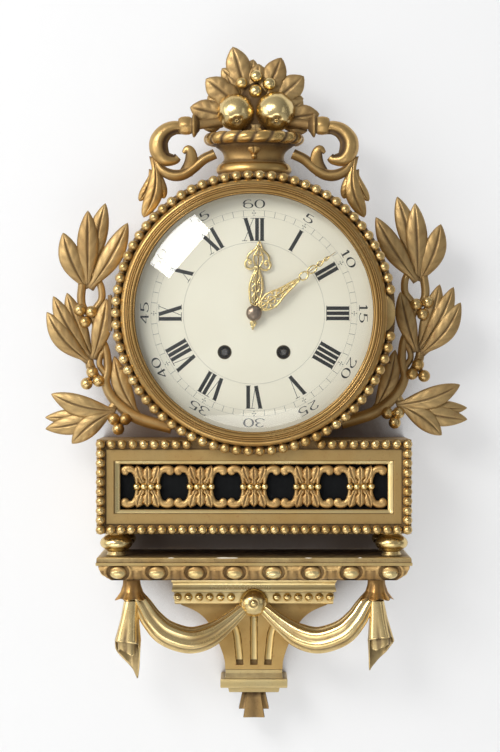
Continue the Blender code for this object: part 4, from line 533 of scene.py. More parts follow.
dress(movement_brass, "back_plate", "going_barrel", "strike_barrel", "minute_wheel", "hour_wheel",
      "escape_wheel", "suspension_cock", "pendulum_bob")
aged_brass = worn_metal("aged_brass", (0.30, 0.19, 0.085), (0.13, 0.08, 0.04), 0.42)
dress(aged_brass, "hinge_case_leaf", "hinge_door_leaf")
dark_brass = worn_metal("dark_brass", (0.085, 0.06, 0.03), (0.035, 0.026, 0.015), 0.45)
dress(dark_brass, "front_plate")
dark_steel = worn_metal("dark_steel", (0.13, 0.12, 0.115), (0.06, 0.055, 0.05), 0.38)
dress(dark_steel, "going_winding_arbor", "strike_winding_arbor")
dress(polished_steel, "centre_arbor", "anchor", "pendulum_rod", "hammer", "bell_stand", "hinge_pin")
dress(bell_metal, "bell")

# Dial: copper, domed and fired with cream enamel on both faces, with a hole for the hands, two for the key and a
# small one for the regulator. It rests on its ring inside the drum.

DIAL_R, DIAL_BACK, DIAL_T, DIAL_RISE, CENTRE_HOLE_R = 125.5, 94.3, 2.5, 4.0, 4.2
KEY_HOLES = ((-29.5, -39.0, 6.5), (29.5, -39.0, 6.5))
REGULATOR_HOLE = (0.0, 81.0, 1.8)


def dial_forward(r):
    """How far forward the enamel lies at a distance from the middle: a shallow dome that falls with the square."""
    return DIAL_BACK + DIAL_T + DIAL_RISE * (1 - (np.asarray(r) / DIAL_R) ** 2)


def bored(shape, x, z, radius):
    """The patch with a round hole through it from front to back: its points inside the circle move out to the
    edge, and the faces whose middle stays inside are left out."""
    verts, quads, fans, shade = shape
    verts = verts.copy()
    out = verts[:, [0, 2]] - (x, z)
    far = np.linalg.norm(out, axis=1, keepdims=True)
    inside = far[:, 0] < radius
    verts[np.ix_(inside, [0, 2])] = (out / np.maximum(far, 1e-9) * radius + (x, z))[inside]
    kept = ~inside[quads].all(1)
    return verts, quads[kept], fans, shade


def enamel_group():
    """Fired enamel: a cream ground that drifts a little, fine grey specks in it, and the faint waves of its
    surface as a height."""
    group = bpy.data.node_groups.new("enamel", "ShaderNodeTree")
    for name in ("Ground", "Cloud", "Speck"):
        socket(group, name, "INPUT", "NodeSocketColor")
    for name, kind in (("Colour", "NodeSocketColor"), ("Height", "NodeSocketFloat")):
        socket(group, name, "OUTPUT", kind)
    nodes, links = group.nodes, group.links
    given = nodes.new("NodeGroupInput")
    result = nodes.new("NodeGroupOutput")
    where = nodes.new("ShaderNodeTexCoord")
    found = {}
    for key, scale, low, high in (("cloud", 14.0, 0.35, 0.70), ("speck", 900.0, 0.72, 0.80), ("wave", 60.0, 0.0, 1.0)):
        cloud = nodes.new("ShaderNodeTexNoise")
        cloud.inputs["Scale"].default_value = scale
        spread = nodes.new("ShaderNodeMapRange")
        spread.inputs["From Min"].default_value = low
        spread.inputs["From Max"].default_value = high
        links.new(where.outputs["Object"], cloud.inputs["Vector"])
        links.new(cloud.outputs["Fac"], spread.inputs["Value"])
        found[key] = spread.outputs["Result"]
    ground = nodes.new("ShaderNodeMix")
    ground.data_type = "RGBA"
    links.new(found["cloud"], ground.inputs["Factor"])
    links.new(given.outputs["Ground"], ground.inputs["A"])
    links.new(given.outputs["Cloud"], ground.inputs["B"])
    speckled = nodes.new("ShaderNodeMix")
    speckled.data_type = "RGBA"
    links.new(found["speck"], speckled.inputs["Factor"])
    links.new(ground.outputs["Result"], speckled.inputs["A"])
    links.new(given.outputs["Speck"], speckled.inputs["B"])
    links.new(speckled.outputs["Result"], result.inputs["Colour"])
    links.new(found["wave"], result.inputs["Height"])
    return group


ENAMEL = enamel_group()
cream_enamel = surfaced("cream_enamel", ENAMEL, {
    "Ground": (0.88, 0.815, 0.69, 1.0), "Cloud": (0.84, 0.77, 0.64, 1.0), "Speck": (0.55, 0.52, 0.43, 1.0),
}, 0.05, 0.0004)
cream_enamel.node_tree.nodes["Principled BSDF"].inputs["Roughness"].default_value = 0.16

face_r = np.linspace(CENTRE_HOLE_R, DIAL_R, 130)
front_profile = np.stack([face_r, dial_forward(face_r)], -1)
back_profile = np.stack([face_r, dial_forward(face_r) - DIAL_T], -1)[::-1]
plate = patch(revolved(np.concatenate([front_profile, back_profile]), 300), loop=True)
for hole in (*KEY_HOLES, REGULATOR_HOLE):
    plate = bored(plate, *hole)
made("enamel_dial", [plate], cream_enamel, "case", ["dial"], sharp=50)

# Eyelets: thin brass linings turned to fit the key holes and the middle hole of the dial.

eyelets = []
for x, z, radius in (*KEY_HOLES, (0.0, 0.0, CENTRE_HOLE_R)):
    lip = dial_forward(np.hypot(x, z))
    section = rounded([(radius + 0.6, lip + 0.35), (radius + 0.6, lip + 0.05), (radius - 0.1, lip + 0.05),
                       (radius - 0.1, lip - DIAL_T), (radius - 0.5, lip - DIAL_T), (radius - 0.5, lip + 0.35)], 0.12, 2)
    eyelets.append(patch(revolved(section, 40, centre=(x, z)), loop=True))
eyelet_brass = worn_metal("eyelet_brass", (0.095, 0.066, 0.033), (0.03, 0.022, 0.013), 0.40)
made("dial_eyelets", eyelets, eyelet_brass, "case", sharp=40)

# Dial figures: black vitreous paint fired on the enamel. Roman hours stand on the inner circle with their feet to
# the middle, the minute track has a stroke for each minute, and every fifth minute has its number.

PAINT = 0.07         # thickness of the paint


def on_dial(u, r, bearing):
    """Points on the painted enamel: u across and r out along a bearing, clockwise from twelve."""
    x = r * np.sin(bearing) + u * np.cos(bearing)
    z = r * np.cos(bearing) - u * np.sin(bearing)
    return np.stack([x, dial_forward(np.hypot(x, z)) + PAINT, z], -1)


def stroke(line, width, bearing, pieces=6):
    """A painted stroke along points of (across, out): its sides lie half its width to the left and right of the
    line, and long runs are cut in pieces so that it follows the dome."""
    line = np.asarray(line, float)
    width = np.broadcast_to(width, len(line)).astype(float)
    stops = np.linspace(0, len(line) - 1, (len(line) - 1) * pieces + 1)
    at = np.arange(len(line))
    u, r, w = (np.interp(stops, at, v) for v in (line[:, 0], line[:, 1], width))
    run = np.stack([np.gradient(u), np.gradient(r)], -1)
    run /= np.linalg.norm(run, axis=1, keepdims=True)
    aside = np.stack([-run[:, 1], run[:, 0]], -1) * w[:, None] / 2
    sides = [on_dial(u + s * aside[:, 0], r + s * aside[:, 1], bearing) for s in (-1, 0, 1)]
    return patch(np.stack(sides, 1), ring=False)


HOUR_FOOT, HOUR_HEAD = 72.8, 95.4
THICK, THIN = 3.7, 0.55
LETTER_W = {"I": 5.1, "V": 11.6, "X": 11.2}
HOURS = ("XII", "I", "II", "III", "IIII", "V", "VI", "VII", "VIII", "IX", "X", "XI")


def upright(x):
    """The thick stem of an I."""
    return [([(x, HOUR_FOOT), (x, HOUR_HEAD)], THICK)]


def vee(x):
    """A V: a thick left arm and a hair right arm that meet at the foot."""
    return [([(x - 3.9, HOUR_HEAD), (x + 0.6, HOUR_FOOT)], THICK), ([(x + 4.6, HOUR_HEAD), (x + 1.2, HOUR_FOOT)], THIN)]


def cross(x):
    """An X: a thick arm one way and a hair arm the other."""
    return [([(x - 3.5, HOUR_HEAD), (x + 3.5, HOUR_FOOT)], THICK), ([(x + 4.6, HOUR_HEAD), (x - 4.6, HOUR_FOOT)], THIN)]


def serifs(letter, x):
    """Hair lines across the head and the foot of a letter."""
    half = {"I": 2.6, "V": 2.4, "X": 2.6}[letter]
    if letter == "I":
        return [([(x - half, level), (x + half, level)], THIN) for level in (HOUR_FOOT, HOUR_HEAD)]
    tops = [([(x + s - half, HOUR_HEAD), (x + s + half, HOUR_HEAD)], THIN) for s in (-3.7, 4.2)]
    if letter == "V":
        return tops
    return tops + [([(x + s - half, HOUR_FOOT), (x + s + half, HOUR_FOOT)], THIN) for s in (3.7, -4.2)]


paint = []
for hour, word in enumerate(HOURS):
    bearing = hour * np.pi / 6
    widths = np.array([LETTER_W[letter] for letter in word])
    middles = np.cumsum(widths) - widths / 2 - widths.sum() / 2
    for letter, x in zip(word, middles):
        for line, width in {"I": upright, "V": vee, "X": cross}[letter](x) + serifs(letter, x):
            paint.append(stroke(line, width, bearing))


def circle_line(r, width):
    """A thin painted circle."""
    rings = [on_dial(np.zeros(241), np.full(241, r + s * width / 2), np.linspace(0, 2 * np.pi, 241))
             for s in (-1, 0, 1)]
    return patch(np.stack(rings, 1), ring=False)


TRACK_IN, TRACK_OUT = 97.6, 103.6
for r, width in ((71.0, 0.18), (TRACK_IN, 0.12), (TRACK_OUT, 0.12)):
    paint.append(circle_line(r, width))
for minute in range(60):
    bearing = minute * np.pi / 30
    if minute % 5:
        paint.append(stroke([(0.0, TRACK_IN), (0.0, TRACK_OUT)], 0.34, bearing, 2))
    else:
        for u, r in ((0.0, TRACK_OUT - 0.9), (0.0, TRACK_IN + 0.9), (-1.6, 100.6), (1.6, 100.6), (0.0, 100.6)):
            paint.append(stroke([(u, r - 0.62), (u, r), (u, r + 0.62)], (0.25, 1.15, 0.25), bearing, 3))


def arc(cu, cv, ru, rv, start, end, count=18):
    """Points of part of an ellipse about (cu, cv), from one angle to another in degrees, 0 to the right."""
    turn = np.radians(np.linspace(start, end, count))
    return np.stack([cu + ru * np.cos(turn), cv + rv * np.sin(turn)], -1)


# Each figure is lines in a box one high: the pen's width grows with the upright part of its run
FIGURES = {
    "0": [arc(0.36, 0.5, 0.32, 0.48, 90, 450, 36)],
    "1": [np.array([(0.06, 0.78), (0.24, 0.98)]), np.array([(0.24, 0.98), (0.24, 0.5), (0.24, 0.02)]),
          np.array([(0.04, 0.02), (0.44, 0.02)])],
    "2": [np.concatenate([arc(0.34, 0.70, 0.28, 0.28, 170, -35), [(0.2, 0.2), (0.05, 0.04)]]),
          np.array([(0.05, 0.04), (0.35, 0.06), (0.66, 0.03)])],
    "3": [arc(0.32, 0.75, 0.26, 0.23, 160, -90), arc(0.30, 0.27, 0.32, 0.25, 90, -160)],
    "4": [np.array([(0.5, 0.98), (0.04, 0.32)]), np.array([(0.04, 0.32), (0.68, 0.32)]),
          np.array([(0.5, 0.98), (0.5, 0.5), (0.5, 0.02)])],
    "5": [np.array([(0.6, 0.97), (0.16, 0.97)]), np.array([(0.16, 0.97), (0.12, 0.55)]),
          arc(0.30, 0.32, 0.32, 0.29, 130, -160)],
    "6": [np.concatenate([[(0.58, 0.90)], arc(0.40, 0.52, 0.36, 0.46, 80, 180)]),
          arc(0.36, 0.30, 0.31, 0.28, 180, 540, 30)],
}
FIGURE_W = {"0": 0.72, "1": 0.48, "2": 0.70, "3": 0.64, "4": 0.72, "5": 0.64, "6": 0.70}
FIGURE_FOOT, FIGURE_H, FIGURE_WIDE, FIGURE_GAP = 105.6, 8.6, 1.62, 1.9
for step in range(1, 13):
    word = str(5 * step)
    bearing = step * np.pi / 6
    widths = np.array([FIGURE_W[digit] * FIGURE_H * FIGURE_WIDE for digit in word])
    starts = np.cumsum(widths + FIGURE_GAP) - widths - FIGURE_GAP - (widths.sum() + FIGURE_GAP * (len(word) - 1)) / 2
    for digit, start in zip(word, starts):
        for line in FIGURES[digit]:
            line = line * (FIGURE_H * FIGURE_WIDE, FIGURE_H) + (start, FIGURE_FOOT)
            run = np.stack([np.gradient(line[:, 0]), np.gradient(line[:, 1])], -1)
            steep = np.abs(run[:, 1]) / np.linalg.norm(run, axis=1)
            paint.append(stroke(line, 0.50 + 1.45 * steep ** 2, bearing, 2))
black_paint = surfaced("black_paint", ENAMEL, {
    "Ground": (0.007, 0.0065, 0.006, 1.0), "Cloud": (0.014, 0.013, 0.012, 1.0), "Speck": (0.05, 0.047, 0.042, 1.0),
}, 0.05, 0.0003)
black_paint.node_tree.nodes["Principled BSDF"].inputs["Roughness"].default_value = 0.3
made("dial_figures", paint, black_paint, "case")

# Hands: cast and pierced gilt brass, chased on the front. The hour hand is a fleur on a leafy shank with a short
# tail, on the hour pipe; the minute hand is a long plait of scrolls and rings, held by a domed bronze collet.

burnished = gilt("burnished_gilding", (0.80, 0.63, 0.31), (0.70, 0.51, 0.215), 0.19, 0.15, 0.9, 1.0, 0.2)


def smooth_line(points, count):
    """A smooth line through points (a Catmull-Rom curve: each stretch is a cubic through its two ends and
    steered by their neighbours), cut at even lengths. Columns after the third, such as a width, go along."""
    p = np.asarray(points, float)
    ends = np.concatenate([2 * p[:1] - p[1:2], p, 2 * p[-1:] - p[-2:-1]])
    t = np.linspace(0, len(p) - 1, 24 * (len(p) - 1) + 1)
    i = np.minimum(t.astype(int), len(p) - 2)
    u = (t - i)[:, None]
    a, b, c, d = ends[i], ends[i + 1], ends[i + 2], ends[i + 3]
    line = 0.5 * (2 * b + (c - a) * u + (2 * a - 5 * b + 4 * c - d) * u ** 2 + (3 * b - a - 3 * c + d) * u ** 3)
    run = np.concatenate([[0], np.cumsum(np.linalg.norm(np.diff(line[:, :3], axis=0), axis=1))])
    at = np.linspace(0, run[-1], count)
    return np.stack([np.interp(at, run, column) for column in line.T], -1)


def carried(path, section, size=1.0, up=(0.0, 1.0, 0.0)):
    """Points of a section carried along a path: at each step the section's first axis lies across the path and
    its second along the given up direction made square to the path, both times the size there."""
    path = np.asarray(path, float)
    run = np.gradient(path, axis=0)
    run /= np.linalg.norm(run, axis=1, keepdims=True)
    aside = np.cross(run, np.broadcast_to(up, run.shape))
    aside /= np.linalg.norm(aside, axis=1, keepdims=True)
    lift = np.cross(aside, run)
    section = np.broadcast_to(section, (len(path), *np.shape(section)[-2:]))
    size = np.broadcast_to(np.reshape(size, (-1, 1, 1)), (len(path), 1, 1))
    return path[:, None] + size * (section[..., :1] * aside[:, None] + section[..., 1:] * lift[:, None])


def oval(across, depth, count):
    """A closed oval section."""
    turn = np.arange(count) * 2 * np.pi / count
    return np.stack([across * np.cos(turn), depth * np.sin(turn)], -1)


def balls(centres, radius, cols=16, rows=9, squash=(1.0, 1.0, 1.0)):
    """A ball at each centre: a half circle from the front pole to the back one carried round, with painted shade
    darkening it towards the back, where it meets what it sits on."""
    centres = np.atleast_2d(np.asarray(centres, float))
    radius = np.broadcast_to(radius, len(centres))
    down = np.linspace(0.06, np.pi - 0.06, rows)
    around = np.arange(cols) * 2 * np.pi / cols
    forward = np.cos(down)[:, None] + 0 * around
    unit = np.stack([np.sin(down)[:, None] * np.cos(around), forward, np.sin(down)[:, None] * np.sin(around)], -1)
    tone = np.clip(0.15 - 1.6 * forward, 0, 1)
    return [patch(c + r * unit * squash, toning_and_shade=tone) for c, r in zip(centres, radius)]


def hand_work(lines, bearing, level, depth):
    """Pierced scrolls of a hand: each line of (across, along, half width) is an oval rod, with its mirror, turned
    to the hand's bearing."""
    rods = []
    for line in lines:
        line = smooth_line(line, 10 * len(line))
        for side in (1, -1):
            u, along = side * line[:, 0], line[:, 1]
            x = along * np.sin(bearing) + u * np.cos(bearing)
            z = along * np.cos(bearing) - u * np.sin(bearing)
            sections = np.stack([oval(w, depth * min(1.0, 0.55 + 0.45 * w), 8) for w in line[:, 2]])
            rods.append(patch(carried(np.stack([x, level + 0 * x, z], -1), sections)))
    return rods


def hand_beads(spots, bearing, level):
    """Small chased balls of a hand, given as (across, along, radius), on both sides."""
    spots = np.array([(s * u, v, r) for u, v, r in spots for s in (1, -1)])
    x = spots[:, 1] * np.sin(bearing) + spots[:, 0] * np.cos(bearing)
    z = spots[:, 1] * np.cos(bearing) - spots[:, 0] * np.sin(bearing)
    return balls(np.stack([x, level + 0 * x, z], -1), spots[:, 2], 10, 7, (1.0, 0.55, 1.0))


HOUR_BEARING, HOUR_LEVEL = np.radians(4.6), 104.4
MINUTE_BEARING, MINUTE_LEVEL = np.radians(53.2), 109.4
HOUR_LINES = (
    [(0.0, 6.0, 1.5), (0.0, 40.0, 1.1), (0.0, 74.0, 0.3)],
    [(0.0, -6.0, 1.6), (0.6, -11.0, 1.2), (0.4, -16.8, 0.5)],
    [(1.0, -7.0, 0.9), (2.6, -10.0, 0.8), (1.4, -13.0, 0.6)],
    [(0.8, 7.0, 1.0), (4.2, 11.0, 1.1), (5.8, 19.0, 1.2), (6.4, 27.0, 1.2), (4.8, 36.0, 1.1), (2.6, 41.5, 1.0),
     (2.2, 46.0, 0.9)],
    [(0.4, 11.0, 0.9), (3.0, 15.5, 0.8), (1.0, 20.0, 0.9), (3.6, 25.0, 0.9), (1.0, 30.0, 0.9), (2.8, 36.0, 0.8),
     (0.6, 43.0, 0.8)],
    [(1.2, 47.0, 1.0), (4.4, 44.8, 1.2), (8.2, 44.0, 1.3), (11.8, 46.0, 1.2), (12.6, 50.0, 1.2), (10.6, 53.2, 1.1),
     (7.6, 52.6, 1.0), (6.8, 50.0, 0.9), (8.4, 48.6, 0.9), (9.4, 50.0, 0.8)],
    [(11.0, 52.6, 0.9), (10.2, 57.5, 1.2), (7.0, 61.2, 1.2), (3.8, 64.0, 1.1), (2.2, 67.5, 0.9), (0.8, 72.0, 0.5)],
    [(1.0, 46.0, 0.9), (4.2, 51.5, 1.0), (4.8, 56.5, 1.0), (2.6, 61.5, 0.9), (0.6, 65.5, 0.6)],
)
MINUTE_LINES = (
    [(0.0, 6.0, 1.4), (0.0, 50.0, 0.9), (0.0, 57.0, 0.7)],
    [(0.8, 7.0, 1.0), (4.4, 11.0, 1.1), (7.0, 18.0, 1.1), (7.0, 25.0, 1.1), (5.0, 32.0, 1.0), (3.6, 39.0, 1.0),
     (2.6, 47.0, 0.9), (1.2, 56.0, 0.7)],
    [(0.3, 9.0, 0.8), (3.4, 13.0, 0.8), (0.6, 17.5, 0.9), (4.0, 22.0, 0.9), (0.6, 27.0, 0.9), (3.4, 31.5, 0.8),
     (0.5, 36.0, 0.8), (2.2, 41.0, 0.7), (0.4, 46.0, 0.7), (1.5, 51.0, 0.6), (0.1, 56.0, 0.6)],
    [(0.0, 57.0, 0.8), (2.6, 58.5, 0.85), (3.6, 62.0, 0.85), (2.6, 65.5, 0.85), (0.0, 67.0, 0.8)],
    [(0.0, 67.0, 0.8), (2.2, 69.0, 0.85), (3.2, 72.5, 0.85), (2.4, 76.0, 0.8), (0.0, 78.0, 0.7)],
    [(0.0, 78.0, 0.7), (1.7, 80.5, 0.75), (1.8, 83.5, 0.7), (0.0, 87.0, 0.6)],
    [(0.0, 86.5, 0.7), (1.3, 89.0, 0.65), (1.2, 91.5, 0.6), (0.0, 94.5, 0.5)],
    [(0.0, 66.0, 0.6), (0.0, 84.0, 0.6), (0.0, 102.0, 0.25)],
)
HOUR_BEADS = ((2.6, 9.0, 1.5), (3.2, 22.5, 1.5), (3.4, 31.0, 1.4), (0.0, 45.5, 2.4), (8.4, 50.0, 1.5), (2.2, 58.5, 1.3),
              (0.0, 66.5, 1.6), (0.7, -13.5, 1.3))
MINUTE_BEADS = ((3.6, 10.0, 1.3), (4.4, 18.0, 1.6), (4.6, 26.5, 1.5), (2.6, 35.5, 1.3), (1.6, 44.0, 1.1),
                (0.0, 57.2, 1.7),
                (0.0, 67.0, 1.5), (0.0, 78.0, 1.2), (0.0, 87.0, 1.0), (8.2, 21.5, 1.0))
hour_pipe = patch(revolved(rounded([(3.55, HOUR_LEVEL - 0.75), (8.0, HOUR_LEVEL - 0.75), (8.0, HOUR_LEVEL + 0.6),
                                    (3.55, HOUR_LEVEL + 0.6)], 0.3), 40), loop=True)
made("hour_hand_fleur", [hour_pipe] + hand_work(HOUR_LINES, HOUR_BEARING, HOUR_LEVEL, 0.75)
     + hand_beads(HOUR_BEADS, HOUR_BEARING, HOUR_LEVEL), burnished, "hour", ["hour_hand"])
made("minute_hand_plait", hand_work(MINUTE_LINES, MINUTE_BEARING, MINUTE_LEVEL, 0.75)
     + hand_beads(MINUTE_BEADS, MINUTE_BEARING, MINUTE_LEVEL), burnished, "minute", ["minute_hand"])
collet_bronze = worn_metal("collet_bronze", (0.36, 0.27, 0.20), (0.13, 0.095, 0.07), 0.24)
dome = np.linspace(0.03, np.pi / 2, 14)
collet = np.concatenate([np.stack([7.9 * np.sin(dome), 109.9 + 5.0 * np.cos(dome)], -1),
                         [(8.0, 109.4), (7.6, 108.7), (0.2, 108.7)]])
made("hand_collet", [patch(revolved(collet, 44))], collet_bronze, "minute", sharp=50)

# Door: a turned bezel with thin reeds, gilded, hung on a small brass hinge at nine o'clock. It carries a string of
# gilded beads on its flange and a scooped pull at three.

BEZEL_IN, BEZEL_OUT, BEZEL_LOW, BEZEL_TOP = 119.0, 133.2, 108.3, 121.3
across = np.linspace(0, 1, 90)
arch = 115.4 + 5.4 * np.sin(np.pi * (0.30 + 0.62 * across))
reeds = np.abs(np.sin(np.pi * np.interp(across, (0, 0.12, 0.38, 0.52, 0.66, 1.0), (0, 1, 2, 3, 4, 5))))
depth = np.interp(across, (0, 0.12, 0.38, 0.66, 1.0), (0.5, 1.0, 1.1, 0.9, 0.8))
moulding = np.stack([BEZEL_IN + (BEZEL_OUT - BEZEL_IN) * across, np.minimum(arch + depth * reeds - 0.3, BEZEL_TOP)], -1)
foot = np.array([(BEZEL_OUT, BEZEL_LOW + 0.6), (BEZEL_OUT + 0.5, BEZEL_LOW), (141.0, BEZEL_LOW),
                 (141.5, BEZEL_LOW - 0.5),
                 (141.5, 106.8), (141.1, 106.3), (124.3, 106.3), (124.3, 112.6), (BEZEL_IN, 112.6)])
section = np.concatenate([moulding, foot])
# Painted shade in the grooves between the reeds and deep painted shade on the foot.
tone = np.concatenate([np.clip(1.1 - 2.4 * reeds, 0, 1) * np.where(across < 0.95, 1, 0.6), np.full(len(foot), 0.9)])
bead_gilding = gilt("bead_gilding", (0.70, 0.51, 0.23), (0.46, 0.29, 0.10), 0.24, 0.3, 1.0, 0.92, 0.1)
bezel_gilding = gilt("bezel_gilding", (0.50, 0.315, 0.115), (0.40, 0.235, 0.075), 0.25, 0.3, 0.85, 0.95, 0.15)
made("bezel_reeds", [patch(revolved(section, 240), loop=True, toning_and_shade=tone[:, None])],
     bezel_gilding, "door", ["bezel"], sharp=55)

BEAD_RING_R, BEAD_R, BEAD_LEVEL, BEADS = 138.0, 5.2, 112.9, 71
bead_turn = np.radians(9.73) + np.arange(BEADS) * np.radians(4.865)
string = np.stack([BEAD_RING_R * np.cos(bead_turn), 0 * bead_turn + BEAD_LEVEL, BEAD_RING_R * np.sin(bead_turn)], -1)
thread_turn = np.linspace(bead_turn[0], bead_turn[-1], 240)
thread = np.stack([BEAD_RING_R * np.cos(thread_turn), 0 * thread_turn + BEAD_LEVEL - 1.6,
                   BEAD_RING_R * np.sin(thread_turn)], -1)
# The thread between the beads is given painted shade.
made("bead_string", balls(string, BEAD_R, 18, 11) + [patch(carried(thread, oval(2.7, 2.7, 10)), toning_and_shade=0.75)],
     bead_gilding, "door", ["bead_ring"])

pull_turn = np.radians(np.linspace(-7.4, 7.4, 40))
share = np.linspace(-1, 1, 40)
rim = np.array([(133.6, 108.6), (133.6, 1), (136.0, 2), (139.0, 2), (141.3, 1), (141.4, 108.6)])
lift = 111.9 - 2.2 * (1 - share ** 4)
level = np.stack([0 * lift + 108.6, lift, lift - 0.5 * (1 - share ** 2), lift - 0.3 * (1 - share ** 2), lift - 0.4,
                  0 * lift + 108.6], -1)
reach = 133.6 + (rim[:, 0] - 133.6) * (0.12 + 0.88 * (1 - np.abs(share[:, None]) ** 2.6))
scoop = np.stack([reach * np.cos(pull_turn)[:, None], level, reach * np.sin(pull_turn)[:, None]], -1)
made("scooped_pull", [patch(scoop)], bead_gilding, "door", ["finger_pull"], sharp=50)

# Glass: a thin clear dome, blown and cut round, seated in the bezel's rebate.

GLASS_RISE, GLASS_EDGE, GLASS_T = 15.0, 112.3, 2.0
dome_r = np.linspace(0.4, 118.0, 60)
outer = np.stack([dome_r, GLASS_EDGE + GLASS_RISE * (1 - (dome_r / 118.0) ** 2)], -1)
inner = np.stack([dome_r, GLASS_EDGE - GLASS_T + GLASS_RISE * (1 - (dome_r / 118.0) ** 2)], -1)[::-1]
edge = np.array([(123.6, GLASS_EDGE), (124.0, GLASS_EDGE - 0.4), (124.0, GLASS_EDGE - GLASS_T + 0.4),
                 (123.6, GLASS_EDGE - GLASS_T)])
clear_glass = bpy.data.materials.new("clear_glass")
clear_glass.use_nodes = True
nodes, links = clear_glass.node_tree.nodes, clear_glass.node_tree.links
pane = nodes["Principled BSDF"]
pane.inputs["Base Color"].default_value = (0.97, 0.985, 0.975, 1.0)
pane.inputs["Roughness"].default_value = 0.015
pane.inputs["IOR"].default_value = 1.46
pane.inputs["Transmission Weight"].default_value = 1.0
where = nodes.new("ShaderNodeTexCoord")
waves = nodes.new("ShaderNodeTexNoise")
waves.inputs["Scale"].default_value = 22.0
raised = nodes.new("ShaderNodeBump")
raised.inputs["Strength"].default_value = 0.02
raised.inputs["Distance"].default_value = 0.0006
links.new(where.outputs["Object"], waves.inputs["Vector"])
links.new(waves.outputs["Fac"], raised.inputs["Height"])
links.new(raised.outputs["Normal"], pane.inputs["Normal"])
ray = nodes.new("ShaderNodeLightPath")
unseen = nodes.new("ShaderNodeMath")
unseen.operation = "MAXIMUM"
links.new(ray.outputs["Is Shadow Ray"], unseen.inputs[0])
links.new(ray.outputs["Is Diffuse Ray"], unseen.inputs[1])
passing = nodes.new("ShaderNodeBsdfTransparent")
passing.inputs["Color"].default_value = (0.95, 0.965, 0.955, 1.0)
either = nodes.new("ShaderNodeMixShader")
links.new(unseen.outputs["Value"], either.inputs["Fac"])
links.new(pane.outputs["BSDF"], either.inputs[1])
links.new(passing.outputs["BSDF"], either.inputs[2])
links.new(either.outputs["Shader"], nodes["Material Output"].inputs["Surface"])
made("glass_dome", [patch(revolved(np.concatenate([outer, edge, inner]), 160))], clear_glass, "door", ["door_glass"],
     sharp=50)

# Plinth: a low oblong box under the drum, of boards gilded outside. Its front is a mitred frame with a flat face, a
# bright stepped edge at the opening and a hollow along its top where the drum sits.

dress(board_gilding, "plinth_case")

DRUM_CLEAR = 140.3
FRAME_STEPS = (                     # half width, lowest and highest z, forward, painted shade and toning
    (158.0, -221.3, -127.0, 91.0, 0.6), (158.0, -221.3, -127.0, 102.3, 0.3), (157.4, -220.7, -127.6, 103.0, 0.7),
    (150.0, -213.3, -135.0, 103.0, 0.9), (149.4, -212.7, -135.6, 102.2, 1.0), (148.6, -211.9, -136.4, 102.2, 1.0),
    (148.0, -211.3, -137.0, 103.0, 0.25), (147.0, -210.3, -138.0, 103.0, 0.0), (142.0, -202.5, -147.0, 103.0, 0.0),
    (141.0, -201.7, -147.8, 103.0, 0.1), (140.4, -201.1, -148.3, 102.4, 0.2), (140.4, -201.1, -148.3, 99.4, 0.8),
    (139.6, -200.7, -148.7, 99.2, 0.1), (135.4, -197.9, -151.2, 97.4, 0.0), (134.7, -197.4, -151.7, 96.8, 0.1),
    (134.7, -197.4, -151.7, 91.0, 1.0),
)
# The sight edge's steps, in the same columns, the last being painted shade and toning.
SIGHT_STEPS = ((139.7, -200.8, -148.6, 99.7, 0.2), (137.5, -199.4, -149.9, 99.1, 0.0),
               (135.3, -197.8, -151.3, 97.9, 0.0),
               (135.2, -197.7, -151.4, 97.2, 0.6), (139.6, -200.7, -148.7, 99.0, 0.8))
RAIL, STILE = 90, 14


def framed(step):
    """One ring of the frame: along the top, down the right, along the bottom and up the left, with the top bowed
    down to the circle of the drum wherever that is lower."""
    half, low, high, forward, tone = step
    x = np.concatenate([np.linspace(-half, half, RAIL), np.full(STILE, half), np.linspace(half, -half, RAIL),
                        np.full(STILE, -half)])
    z = np.concatenate([np.full(RAIL, high), np.linspace(high, low, STILE + 2)[1:-1], np.full(RAIL, low),
                        np.linspace(low, high, STILE + 2)[1:-1]])
    under = -np.sqrt(np.maximum(DRUM_CLEAR ** 2 - x ** 2, 0.0))
    return np.stack([x, np.full_like(x, forward), np.minimum(z, np.where(np.abs(x) < 120, under, 0.0))], -1)


frame_gilding = gilt("frame_gilding", (0.57, 0.385, 0.155), (0.47, 0.30, 0.11), 0.33, 0.35, 0.8)
made("plinth_front", [patch(np.stack([framed(step) for step in FRAME_STEPS]), loop=True,
                            toning_and_shade=np.array([step[4] for step in FRAME_STEPS])[:, None])],
     frame_gilding, "case", ["plinth_frame"], sharp=35)
egg_gilding = gilt("egg_gilding", (0.82, 0.66, 0.33), (0.74, 0.55, 0.24), 0.26, 0.15, 0.6, 0.95, 0.15)
made("sight_edge", [patch(np.stack([framed(step) for step in SIGHT_STEPS]), loop=True,
                          toning_and_shade=np.array([step[4] for step in SIGHT_STEPS])[:, None])],
     egg_gilding, "case", sharp=35)

# Plinth beads: turned half beads in strips, gilded, planted along the edges of the frame and stopped on each
# side of the drum.

SIDE_X, LOW_Z, HIGH_Z, STOP_X, STRIP_LEVEL, STRIP_R = 153.8, -217.1, -131.2, 67.4, 107.5, 4.8


def row_of(start, end, pitch):
    """Centres at an even pitch from one place to another in the front of the frame."""
    count = int(round(np.hypot(end[0] - start[0], end[1] - start[1]) / pitch)) + 1
    x, z = (np.linspace(start[k], end[k], count) for k in (0, 1))
    return np.stack([x, np.full(count, STRIP_LEVEL), z], -1)


